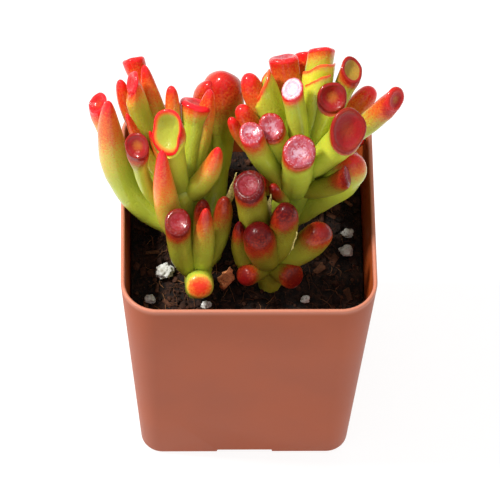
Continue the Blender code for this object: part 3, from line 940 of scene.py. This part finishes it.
# place in the soil, points of the way up, and radius at the foot and at the top
STEMS = {
    "left_stem": ((-9, -4), ((-9.5, -4, 60), (-13, -3.5, 68), (-15, -3, 76)), 3.2, 3.6),
    "right_stem": ((6, -2), ((6.5, -2, 60), (9.5, -1.5, 71), (12, 0, 83)), 3.6, 3.8),
    "front_stem": ((5, -11.5), ((5, -11.5, 56), (5, -11.5, 59), (5, -11.5, 62)), 2.6, 2.9),
    "front_left_stem": (
        (-11.5, -13), ((-11.5, -13, 56), (-11.3, -13, 58), (-11, -13, 61)), 2.5, 3.0,
    ),
    "back_left_stem": ((-17, 13), ((-17, 13, 57), (-17.5, 14, 62), (-18, 15, 67)), 2.6, 2.6),
    "back_right_stem": ((13, 13), ((13, 13, 57), (13, 13.5, 62), (13, 14, 67)), 2.6, 2.6),
}
print("stems:", len(STEMS))

# %% Leaves
# shape, tip, width, mouth width, way the mouth faces (turn, rise), bow, place on the stem, and then
# blush, darkness of the red and lining of the dish. On the front shoots the darkness also paints
# their shade, and the bloom and frost of a pale lining also paint sheen
LEAVES = {
    "left_stem": (
        ("cup", (-33.5, 8, 94.5), 4.2, 4.8, (195, 50), 0.90, 0.92, (0.17, 0.10, 0.45)),
        ("finger", (-31, 3, 102), 7.8, 0, None, 1.04, 0.42, (0.19, 0.10, 0.5)),
        ("blunt", (-28.5, 11, 99), 3.4, 0, None, 0.80, 0.95, (0.36, 0.10, 0.5)),
        ("trumpet", (-25.5, 17, 98.5), 3.9, 5.0, (105, 32), 0.60, 0.97, (0.24, 0.20, 0.5)),
        ("trumpet", (-25.8, 8.5, 101.4), 4.8, 5.0, (190, 22), 0.75, 0.98, (0.10, 0.10, 0.5)),
        ("finger", (-23.2, 14, 100.5), 5.0, 0, None, 0.65, 0.99, (0.27, 0.15, 0.5)),
        ("finger", (-27, 3, 97.5), 3.2, 0, None, 0.70, 0.96, (0.36, 0.10, 0.5)),
        ("cup", (-24.8, -4, 95), 3.3, 5.6, (-112, 34), 0.90, 0.60, (0.09, 0.75, 0.32)),
        ("blunt", (-17.3, 9, 99.5), 3.3, 0, None, 0.60, 1.0, (0.21, 0.10, 0.5)),
        ("ear", (-17.6, -2, 97.5), 5.4, 8.2, (-118, 30), 0.60, 0.97, (0.06, 0.30, 0.0)),
        ("trumpet", (-11.8, 8.5, 93.6), 5.6, 7.0, (62, 50), 0.60, 1.0, (0.08, 0.05, 0.45)),
        ("finger", (-8.7, 9.5, 97.5), 5.2, 0, None, 0.70, 0.98, (0.30, 0.0, 0.5)),
        ("mitten", (-5.8, 17, 92.6), 9.8, 0, None, 1.0, 0.25, (0.155, 0.50, 0.5)),
        ("mitten", (-8.9, 16, 91.4), 7.0, 0, None, 1.0, 0.25, (0.155, 0.50, 0.5)),
        ("finger", (-19.3, -7, 97.5), 6.2, 0, None, 1.0, 0.30, (0.28, 0.0, 0.5)),
        ("finger", (-7, -4, 94.3), 5.2, 0, None, 0.75, 0.94, (0.26, 0.15, 0.5)),
        ("finger", (-22, 3, 91), 2.4, 0, None, 0.60, 1.0, (0.48, 0.05, 0.5)),
        ("finger", (-25, 4, 79), 4.8, 0, None, 0.70, 0.60, (0.16, 0.40, 0.5)),
        ("trumpet", (-25, 14, 88), 4.8, 5.0, (130, 50), 0.60, 0.80, (0.16, 0.40, 0.6)),
        ("blunt", (-17, 16, 85), 5.0, 0, None, 0.48, 0.86, (0.20, 0.35, 0.5)),
    ),
    "right_stem": (
        ("trumpet", (7.5, 16, 100.2), 6.2, 6.6, (100, 46), 0.60, 0.97, (0.26, 0.30, 0.62)),
        ("trumpet", (12.5, 21, 95), 4.6, 4.8, (95, 26), 0.60, 0.92, (0.26, 0.25, 0.5)),
        ("trumpet", (15.7, 17, 101.6), 6.0, 6.0, (92, 28), 0.60, 0.98, (0.055, 0.25, 0.7)),
        ("blunt", (-0.6, 11, 101), 5.2, 0, None, 0.70, 0.93, (0.30, 0.25, 0.5)),
        ("spoon", (2.8, 9, 99.8), 6.4, 6.4, (166, 17), 0.65, 0.97, (0.03, -0.5, 0.0)),
        ("trumpet", (9, 4, 105.2), 4.8, 4.9, (-140, 62), 0.50, 1.0, (0.09, 0.35, 0.92)),
        ("hood", (15.2, 12.5, 101.2), 6.8, 7.2, (107, 29), 0.60, 1.0, (0.022, -0.6, 0.0)),
        ("hood", (14.9, 9.2, 101.4), 5.6, 6.0, (116, 29), 0.50, 1.0, (0.022, -0.6, 0.0)),
        ("cup", (18, 5, 100.5), 4.8, 6.5, (-85, 42), 0.60, 1.0, (0.08, 0.75, 0.36)),
        ("cup", (22.4, 12, 101.3), 4.6, 5.6, (-30, 50), 0.60, 0.98, (0.08, 0.65, 0.2)),
        ("blunt", (27.4, 13, 93.5), 5.2, 0, None, 0.60, 0.96, (0.45, 0.12, 0.5)),
        ("trumpet", (31.8, 5.5, 99.2), 5.0, 5.4, (-46, 26), 0.60, 0.97, (0.20, 0.50, 0.34)),
        ("spoon", (21.3, -2, 98), 7.2, 8.4, (-62, 36), 0.65, 0.93, (0.05, 0.72, 0.45)),
        ("trumpet", (10.6, -6, 95.5), 7.0, 7.2, (-95, 60), 0.60, 0.68, (0.10, 0.60, 0.72)),
        ("trumpet", (4.6, 0, 96.5), 5.4, 5.8, (-100, 55), 0.60, 0.88, (0.10, 0.60, 0.66)),
        ("trumpet", (0, -3, 98.3), 5.2, 5.4, (-110, 74), 0.70, 0.76, (0.14, 0.45, 0.74)),
        ("blunt", (-2.1, 5, 97.4), 4.8, 0, None, 0.70, 0.88, (0.26, 0.35, 0.5)),
        ("blunt", (-4.3, 3, 95.8), 3.1, 0, None, 0.75, 0.82, (0.29, 0.25, 0.5)),
        ("trumpet", (21.3, -6.5, 87.3), 4.8, 4.4, (0, 20), 0.70, 0.72, (0.18, 0.9, 0.62)),
        ("paddle", (23.3, -2, 87.5), 8.8, 0, None, 0.66, 0.30, (0.07, 0.30, 0.5)),
        ("blunt", (5, -8.5, 86.5), 2.8, 0, None, 0.70, 0.62, (0.40, 0.75, 0.5)),
        ("trumpet", (6, 15, 89), 5.0, 5.4, (105, 50), 0.70, 0.70, (0.16, 0.40, 0.6)),
        ("finger", (14.5, 19, 88), 5.0, 0, None, 0.52, 0.76, (0.18, 0.35, 0.5)),
        ("blunt", (22.5, 11, 87), 5.0, 0, None, 0.55, 0.70, (0.18, 0.35, 0.5)),
        ("trumpet", (23, 2.5, 82), 4.8, 5.2, (10, 45), 0.70, 0.55, (0.16, 0.60, 0.5)),
    ),
    "front_stem": (
        ("trumpet", (-0.4, -10, 88.5), 7.0, 6.8, (-125, 70), 0.65, 1.0, (0.10, 0.95, 0.58)),
        ("blunt", (7.9, -13, 85), 6.5, 0, None, 0.75, 1.0, (0.20, 1.0, 0.5)),
        ("blunt", (1.6, -16.5, 81.5), 7.3, 0, None, 0.70, 1.0, (0.40, 1.0, 0.5)),
        ("finger", (-2.3, -13, 79), 5.0, 0, None, 1.0, 0.50, (0.16, 1.0, 0.5)),
        ("blunt", (16.2, -13, 76.5), 7.0, 0, None, 0.70, 0.95, (0.20, 0.85, 0.5)),
        ("blunt", (10.5, -17.5, 63.5), 6.2, 0, None, 0.60, 0.85, (0.26, 0.9, 0.5)),
        ("blunt", (-1.5, -17.5, 63.8), 5.2, 0, None, 0.60, 0.85, (0.34, 0.9, 0.5)),
    ),
    "front_left_stem": (
        ("trumpet", (-15.8, -13, 79), 5.6, 5.8, (-105, 65), 0.95, 0.85, (0.13, 0.86, 0.57)),
        ("blunt", (-10.3, -8, 80), 4.0, 0, None, 0.80, 0.95, (0.21, 0.95, 0.5)),
        ("finger", (-9.7, -13, 84), 5.2, 0, None, 0.80, 0.90, (0.24, 0.50, 0.5)),
        ("blunt", (-5.5, -9, 82.5), 4.4, 0, None, 0.90, 0.85, (0.19, 0.85, 0.5)),
        ("blunt", (-10.7, -20, 63), 6.4, 0, None, 0.60, 0.80, (0.085, -0.12, 0.5)),
    ),
}
print("leaves placed by hand:", sum(len(rows) for rows in LEAVES.values()))

# %% [markdown]
# ## The shoots behind
# The two shoots behind follow the habit of this plant: leaves come in pairs, and each pair stands a
# quarter turn from the pair below it. A rule is shorter than a table, and the draw and its seeds
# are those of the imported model.

# %% Shoots behind
BACK_SHOOTS = {
    "back_left_stem": dict(seed=7, pairs=5, first_turn=35, length=(13, 10), rise=(45, 66)),
    "back_right_stem": dict(seed=11, pairs=5, first_turn=32, length=(15, 11), rise=(30, 60)),
}
BACK_PLACES = (0.35, 1.0)
BACK_WIDTH = (4.4, 5.6)
BACK_LENGTH_SPREAD = (0.9, 1.1)
BACK_SWAY = 9
BACK_BOW = 0.7
TRUMPET_CHANCE = 0.6
TRUMPET_FLARE = 1.1
TRUMPET_LIFT = 15
BACK_LOOK = (0.22, 0.40, 0.6)


def direction(turn, rise):
    turn, rise = math.radians(turn), math.radians(rise)
    flat = math.cos(rise)
    return Vector((flat * math.cos(turn), flat * math.sin(turn), math.sin(rise)))


def between(ends, share):
    return ends[0] + (ends[1] - ends[0]) * share


def stem_point(name, share):
    """A point on a stem's centre line, from 0 at the soil to 1 at the top."""
    (x, y), route, _, _ = STEMS[name]
    points = [Vector((x, y, STEM_FOOT))] + [Vector(point) for point in route]
    lengths = [(b - a).length for a, b in zip(points, points[1:])]
    left = share * sum(lengths)
    for start, end, length in zip(points, points[1:], lengths):
        if left <= length:
            return start.lerp(end, left / length)
        left -= length
    return points[-1]


def back_leaves(name):
    rule = BACK_SHOOTS[name]
    draw = random.Random(rule["seed"])
    rows = []
    for pair in range(rule["pairs"]):
        level = pair / (rule["pairs"] - 1)
        place = between(BACK_PLACES, level)
        root = stem_point(name, place)
        rise = between(rule["rise"], level)
        length = between(rule["length"], level)
        for half in (0, 180):
            turn = rule["first_turn"] + pair * 90 + half + draw.uniform(-BACK_SWAY, BACK_SWAY)
            tip = root + direction(turn, rise) * length * draw.uniform(*BACK_LENGTH_SPREAD)
            width = draw.uniform(*BACK_WIDTH)
            if draw.random() < TRUMPET_CHANCE:
                mouth = width * TRUMPET_FLARE
                face = (turn, rise + TRUMPET_LIFT)
                rows.append(("trumpet", tip, width, mouth, face, BACK_BOW, place, BACK_LOOK))
            else:
                rows.append(("finger", tip, width, 0, None, BACK_BOW, place, BACK_LOOK))
    return rows


print("leaves drawn by the rule:", sum(len(back_leaves(name)) for name in BACK_SHOOTS))

# %% [markdown]
# ## One leaf
# A leaf is a tube through many circles. They follow a bent line from the stem to the tip, and their
# sizes come from a few given stations with a smooth curve through them. A finger closes in a
# point, and a trumpet turns its last circles to the way its mouth faces, folds over a round lip
# and sinks into a dish. Last, slow noise takes away the lathe-turned look.

# %% Stations of the shapes
LEAF_SIDES = 32
LEAF_FLATNESS = 0.95
BODY_RINGS = 22
# Rings crowd towards a closed tip by this power
TIP_CROWDING = 1.8
STATIONS = {
    "finger": ((0.0, 0.82), (0.2, 0.97), (0.45, 1.0), (0.70, 0.90), (0.86, 0.66), (0.94, 0.46),
               (0.98, 0.28), (0.995, 0.14), (1.0, 0.03)),
    "blunt": ((0.0, 0.73), (0.25, 0.89), (0.6, 1.0), (0.82, 0.98), (0.91, 0.85), (0.96, 0.66),
              (0.985, 0.44), (0.997, 0.22), (1.0, 0.04)),
    "mitten": ((0.0, 0.60), (0.4, 0.61), (0.6, 0.65), (0.72, 0.80), (0.82, 1.0), (0.90, 0.97),
               (0.95, 0.80), (0.98, 0.52), (0.996, 0.24), (1.0, 0.04)),
    "paddle": ((0.0, 0.60), (0.3, 0.64), (0.55, 0.78), (0.75, 1.0), (0.87, 0.96), (0.94, 0.76),
               (0.98, 0.48), (0.996, 0.22), (1.0, 0.04)),
    "trumpet": ((0.0, 0.80), (0.22, 0.92), (0.5, 0.98), (0.80, 1.0)),
    "cup": ((0.0, 0.80), (0.22, 0.92), (0.5, 0.98), (0.80, 1.0)),
    "hood": ((0.0, 0.80), (0.22, 0.90), (0.5, 0.97), (0.80, 1.0)),
    "spoon": ((0.0, 0.76), (0.22, 0.86), (0.5, 0.94), (0.76, 1.0)),
    "ear": ((0.0, 0.90), (0.22, 0.92), (0.5, 0.94), (0.76, 1.0)),
}
NECK_RINGS = 6
# The mouths. Stretch is towards the tip. The roundness of the lip and the depth of the dish are in
# shares of the mouth's radius, fold is how far the lip turns over, in degrees, missing is how far
# the rim is gone on the stem's side, and curl is how far one side of it leans in.
MOUTHS = {
    "trumpet": dict(stretch=1.08, lip=0.26, fold=125, depth=0.02, missing=0.0, curl=0.0),
    "cup": dict(stretch=1.08, lip=0.14, fold=150, depth=0.26, missing=0.0, curl=0.0),
    "hood": dict(stretch=1.12, lip=0.07, fold=150, depth=0.26, missing=0.0, curl=0.0),
    "spoon": dict(stretch=1.24, lip=0.12, fold=150, depth=0.18, missing=0.0, curl=0.0),
    "ear": dict(stretch=1.26, lip=0.08, fold=150, depth=0.40, missing=1.0, curl=1.0),
}
LIP_RINGS = 7
# How far into the dish the turned lip counts, where 1 is the dish's middle
LIP_DISH = 0.16
# The dish: shares of the way from the lip to the middle, and of its depth
DISH = ((0.15, 0.16), (0.32, 0.50), (0.5, 0.76), (0.68, 0.91), (0.84, 0.98), (0.96, 1.0))


def mouth_profile(mouth):
    """Rings of a mouth: radius and rise in shares of its radius, and how far into the dish."""
    lip, depth = mouth["lip"], mouth["depth"]
    profile = []
    for step in range(LIP_RINGS):
        share = step / (LIP_RINGS - 1)
        turned = math.radians(mouth["fold"] * share)
        radius = 1 - lip + lip * math.cos(turned)
        profile.append((radius, lip * (math.sin(turned) - 0.5), LIP_DISH * share))
    edge, edge_rise, _ = profile[-1]
    for way, fall in DISH:
        rise = edge_rise - (edge_rise + depth) * fall
        profile.append((edge * (1 - way), rise, LIP_DISH + (1 - LIP_DISH) * way))
    return profile


def curve_through(stations, share):
    """A smooth curve through (share, size) stations."""
    index = max(i for i in range(len(stations) - 1) if stations[i][0] <= share)
    (s1, p1), (s2, p2) = stations[index], stations[index + 1]
    s0, p0 = stations[max(index - 1, 0)]
    s3, p3 = stations[min(index + 2, len(stations) - 1)]
    t = (share - s1) / (s2 - s1)
    rise1 = (p2 - p0) / (s2 - s0) * (s2 - s1)
    rise2 = (p3 - p1) / (s3 - s1) * (s2 - s1)
    cubic = (2 * t**3 - 3 * t**2 + 1) * p1 + (t**3 - 2 * t**2 + t) * rise1
    return cubic + (3 * t**2 - 2 * t**3) * p2 + (t**3 - t**2) * rise2


print("the mouth of a trumpet has", len(mouth_profile(MOUTHS["trumpet"])), "rings")


# %% Rings of one leaf
def leaf_line(root, tip, bow):
    """The bent centre line: a point and a heading for each share of the way."""
    elbow = root.lerp(tip, bow)
    elbow.z = root.z + (tip.z - root.z) * (1 - bow)

    def at(share):
        near = root.lerp(elbow, share)
        far = elbow.lerp(tip, share)
        return near.lerp(far, share), (far - near).normalized()

    return at


def leaf_rings(root, row):
    """For each ring: its matrix, its centre, how far along the leaf and how far into the dish."""
    shape, tip, width, mouth, face, bow, _, _ = row
    at = leaf_line(root, Vector(tip), bow)
    stations = STATIONS[shape]
    last = stations[-1][0]
    turn = Quaternion()
    normal = Vector((0, 0, 1))
    rings = []
    for step in range(BODY_RINGS + 1):
        share = step / BODY_RINGS
        share = last * share if mouth else last * (1 - (1 - share) ** TIP_CROWDING)
        centre, ahead = at(share)
        turn = normal.rotation_difference(ahead) @ turn
        normal = ahead
        radius = width / 2 * curve_through(stations, min(share, last - TINY))
        rings.append((ring_at(centre, turn, radius, LEAF_FLATNESS), centre, share, 0.0))
    if not mouth:
        return rings
    out = direction(*face)
    end, ahead = at(1.0)
    along = ahead - out * ahead.dot(out)
    stretch_end = MOUTHS[shape]["stretch"]
    for step in range(1, NECK_RINGS + 1):
        part = step / (NECK_RINGS + 1)
        share = last + (1 - last) * part
        centre, heading = at(share)
        ease = part * part * (3 - 2 * part)
        facing = heading.slerp(out, ease)
        turn = normal.rotation_difference(facing) @ turn
        normal = facing
        radius = (width + (mouth - width) * ease) / 2
        flat = LEAF_FLATNESS + (1 - LEAF_FLATNESS) * ease
        stretch = 1 + (stretch_end - 1) * ease
        rings.append((ring_at(centre, turn, radius, flat, stretch, along), centre, share, 0.0))
    turn = normal.rotation_difference(out) @ turn
    radius = mouth / 2
    for size, rise, inward in mouth_profile(MOUTHS[shape]):
        centre = end + out * radius * rise
        matrix = ring_at(centre, turn, radius * size, 1.0, stretch_end, along)
        rings.append((matrix, centre, 1.0, inward))
    return rings


first_leaf = LEAVES["left_stem"][0]
first_rings = leaf_rings(stem_point("left_stem", first_leaf[6]), first_leaf)
print("the first leaf has", len(first_rings), "rings")

# %% [markdown]
# ## Uneven leaves, and their numbers for the skin
# The wobble below moves each point of a ring away from or towards the ring's centre. It is slow
# along the leaf and stronger near its end, where the mouths of the real leaves are uneven. The same
# pass writes the numbers that the skin material reads, and lets the side that faces the sun blush
# further down.

# %% Numbers of the wobble
WOBBLE = 0.07
PADDLE_WOBBLE = 0.13
WOBBLE_PITCH = 0.22
WOBBLE_SHIFT = 7.3
MOUTH_WOBBLE = 0.12
MOUTH_PITCH = 1.1
MOUTH_SHIFT = 3.7
RIM_WAVE = 0.14
# A lip from this size up is thick and waves this much, and a thin one waves more
THICK_LIP = 0.2
THICK_WAVE = 0.5
# Powers of the way along the leaf: the higher, the nearer to its end the change stays
OVAL_POWER, WAVE_POWER, CURL_POWER, THIN_POWER = 6, 8, 24, 3
# The ear: from where along the leaf its rim is cut down on the stem's side, over which range of
# headings, how much less it blushes there, and how far up and inwards the curled side leans
CUT_FROM = 0.8
CUT_START, CUT_RANGE = 0.1, 0.8
CUT_PALENESS = 0.85
CURL_UP, CURL_IN = 0.45, 0.6
SUN = Vector((-0.62, 0.30, 0.72))
SUN_BLUSH = 0.3
LAYERS = ("along", "thin", "dish", "reach", "tone", "lining")
print("numbers on each vertex of a leaf:", ", ".join(LAYERS))


# %% Build one leaf
def build_leaf(root, row, seed):
    bm = bmesh.new()
    layers = {name: bm.verts.layers.float.new(name) for name in LAYERS}
    rings = leaf_rings(root, row)
    loops = tube(bm, [ring[0] for ring in rings], LEAF_SIDES)
    shape, tip, _, mouth, face = row[:5]
    reach, tone, lining = row[7]
    tip = Vector(tip)
    missing = MOUTHS[shape]["missing"] if mouth else 0.0
    curl = MOUTHS[shape]["curl"] if mouth else 0.0
    thin = max(0.0, 1 - MOUTHS[shape]["lip"] / THICK_LIP) if mouth else 0.0
    swell = PADDLE_WOBBLE if shape in ("paddle", "mitten") else WOBBLE
    wavy = THICK_WAVE + thin
    out = direction(*face) if mouth else Vector((0, 0, 1))
    stemward = root - tip
    stemward = (stemward - out * stemward.dot(out)).normalized()
    side = out.cross(stemward)
    for loop, (_, centre, share, inward) in zip(loops, rings):
        for vert in loop:
            arm = vert.co - centre
            heading = arm.normalized()
            spot = vert.co * WOBBLE_PITCH + Vector((seed * WOBBLE_SHIFT, 0, 0))
            wave = noise.noise(spot) * swell
            sunny = 1 + SUN_BLUSH * heading.dot(SUN)
            if mouth:
                around = noise.noise(heading * MOUTH_PITCH + Vector((0, seed * MOUTH_SHIFT, 0)))
                wave += around * MOUTH_WOBBLE * wavy * share**OVAL_POWER
                vert.co += out * arm.length * around * RIM_WAVE * wavy * share**WAVE_POWER
                arm = vert.co - centre
            vert.co = centre + arm * (1 + wave)
            if missing and share > CUT_FROM:
                stemside = (heading.dot(stemward) + CUT_START) / CUT_RANGE
                low = max(0.0, min(1.0, stemside)) * missing
                vert.co -= out * max(0.0, (centre - tip).dot(out)) * low
                sunny *= 1 - CUT_PALENESS * low
                turned = max(0.0, heading.dot(side)) ** 2 * curl * share**CURL_POWER
                vert.co += (out * CURL_UP - side * CURL_IN) * turned * arm.length / 2
            vert[layers["along"]] = share
            # A thin lip is painted lime: paler tissue with painted sunlight through it
            vert[layers["thin"]] = thin * share**THIN_POWER
            vert[layers["dish"]] = inward
            vert[layers["reach"]] = reach * sunny
            vert[layers["tone"]] = tone
            vert[layers["lining"]] = lining
    return bm


sample = build_leaf(stem_point("left_stem", first_leaf[6]), first_leaf, 0)
print("the first leaf has", len(sample.faces), "faces")
sample.free()

# %% [markdown]
# ## The stems
# A real stem is a stout green rod that its leaves nearly hide. It is a tube through the points of
# its plan, with a low dome on top, and it goes down into the plain hole that the soil has for it.
# Then its leaves join it in one mesh, as they grow from it in one piece.

# %% Build one stem
# The skin divides by the reach of the blush, so a stem has one too, short enough to stay green
STEM_REACH = 0.3


def stem_rings(name):
    (x, y), route, foot, top = STEMS[name]
    points = [Vector((x, y, SOIL_HOLE)), Vector((x, y, STEM_FOOT))]
    points += [Vector(point) for point in route]
    turn = Quaternion()
    normal = Vector((0, 0, 1))
    rings = []
    for index, point in enumerate(points):
        after = points[min(index + 1, len(points) - 1)]
        before = points[max(index - 1, 0)]
        ahead = (after - before).normalized() if index > 1 else Vector((0, 0, 1))
        turn = normal.rotation_difference(ahead) @ turn
        normal = ahead
        share = index / (len(points) - 1)
        rings.append(ring_at(point, turn, foot + (top - foot) * share))
    for rise, size in STEM_TOP:
        rings.append(ring_at(points[-1] + normal * top * rise, turn, top * size))
    return rings


def build_stem(name):
    bm = bmesh.new()
    tube(bm, stem_rings(name), LEAF_SIDES)
    layers = {layer: bm.verts.layers.float.new(layer) for layer in LAYERS}
    for vert in bm.verts:
        vert[layers["reach"]] = STEM_REACH
    return bm


print("the left stem has", len(stem_rings("left_stem")), "rings")

# %% Grow the plant
for name in STEMS:
    plant = build_stem(name)
    rows = LEAVES.get(name) or back_leaves(name)
    for seed, row in enumerate(rows):
        add_to(plant, build_leaf(stem_point(name, row[6]), row, seed))
    make_piece(name + "_skin", plant, LEAF_SKIN, [name])

# %% [markdown]
# ## Floor, light and camera
# The photo shows the pot on white, lit from the upper left. A small key lamp there models the
# leaves, and a large, weak one at the right in front fills in. The floor is pale paper that glows
# by itself, so it stays white in the pot's shadow too, and an even sky does the rest. The camera
# looks down at 55 degrees through a long lens from about a metre away.

# %% Floor
WHITE = (1.0, 1.0, 1.0)
PAPER_DARK = (120, 119, 118)
PAPER_LIGHT = (126, 126, 125)
PAPER_GLOW = 0.88
FLOOR_HALF = 3.0


def floor_paper():
    paper = Finish("floor_paper")
    grain = paper.clouds(300, detail=4.0)
    return paper.surface(
        Base_Color=paper.mix(grain, PAPER_DARK, PAPER_LIGHT),
        Roughness=0.7 + grain * 0.1,
        Normal=paper.bump(grain, 0.00003),
        Emission_Color=(*WHITE, 1.0),
        Emission_Strength=PAPER_GLOW,
    )


floor_mesh = bmesh.new()
bmesh.ops.create_grid(floor_mesh, x_segments=1, y_segments=1, size=FLOOR_HALF)
floor_data = bpy.data.meshes.new("floor")
floor_mesh.to_mesh(floor_data)
floor_mesh.free()
floor_data.materials.append(floor_paper())
FLOOR_SHEET = bpy.data.objects.new("floor", floor_data)
bpy.context.scene.collection.objects.link(FLOOR_SHEET)
FLOOR_SHEET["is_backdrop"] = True

# %% Light
PLANT = Vector((0.0, 0.0, 0.07))
SKY_STRENGTH = 0.55


def lamp(name, place, size, power, colour=WHITE):
    """A square lamp that is aimed at the plant."""
    light = bpy.data.lights.new(name, "AREA")
    light.size = size
    light.energy = power
    light.color = colour
    holder = bpy.data.objects.new(name, light)
    holder.location = place
    holder.rotation_euler = (PLANT - Vector(place)).to_track_quat("-Z", "Y").to_euler()
    bpy.context.scene.collection.objects.link(holder)
    print(name, "lamp gives", power, "W")


lamp("key", place=(-0.50, 0.02, 0.85), size=0.14, power=11.5, colour=(1.0, 0.98, 0.93))
lamp("fill", place=(0.5, -0.5, 0.9), size=0.8, power=1.2)

world = bpy.data.worlds.new("studio")
world.use_nodes = True
sky = world.node_tree.nodes["Background"]
sky.inputs["Color"].default_value = (*WHITE, 1.0)
sky.inputs["Strength"].default_value = SKY_STRENGTH
bpy.context.scene.world = world
bpy.context.scene.view_settings.view_transform = "Standard"

# %% Camera
CAMERA_PLACE = Vector((-22.075, -544.887, 845.317)) * MM
CAMERA_AIM = Vector((0.793, 0.0, 49.027)) * MM
CAMERA_ROLL = 1.868
CAMERA_LENS = 305.28
CAMERA_SENSOR = 36.0

camera_data = bpy.data.cameras.new("camera")
camera_data.sensor_width = CAMERA_SENSOR
camera_data.lens = CAMERA_LENS
camera = bpy.data.objects.new("camera", camera_data)
camera.location = CAMERA_PLACE
look = (CAMERA_AIM - CAMERA_PLACE).to_track_quat("-Z", "Y")
roll = Quaternion((0, 0, 1), math.radians(CAMERA_ROLL))
camera.rotation_euler = (look @ roll).to_euler()
bpy.context.scene.collection.objects.link(camera)
bpy.context.scene.camera = camera
print("camera is", round((CAMERA_PLACE - CAMERA_AIM).length, 3), "m away")

# %% Size of the dressed model
boxes = {"cad": CAD_BOX, "visual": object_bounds()}
boxes = {name: [[float(value) for value in corner] for corner in box] for name, box in boxes.items()}
visual = boxes["visual"]
print("visual box in mm:", [[round(value / MM, 1) for value in corner] for corner in visual])
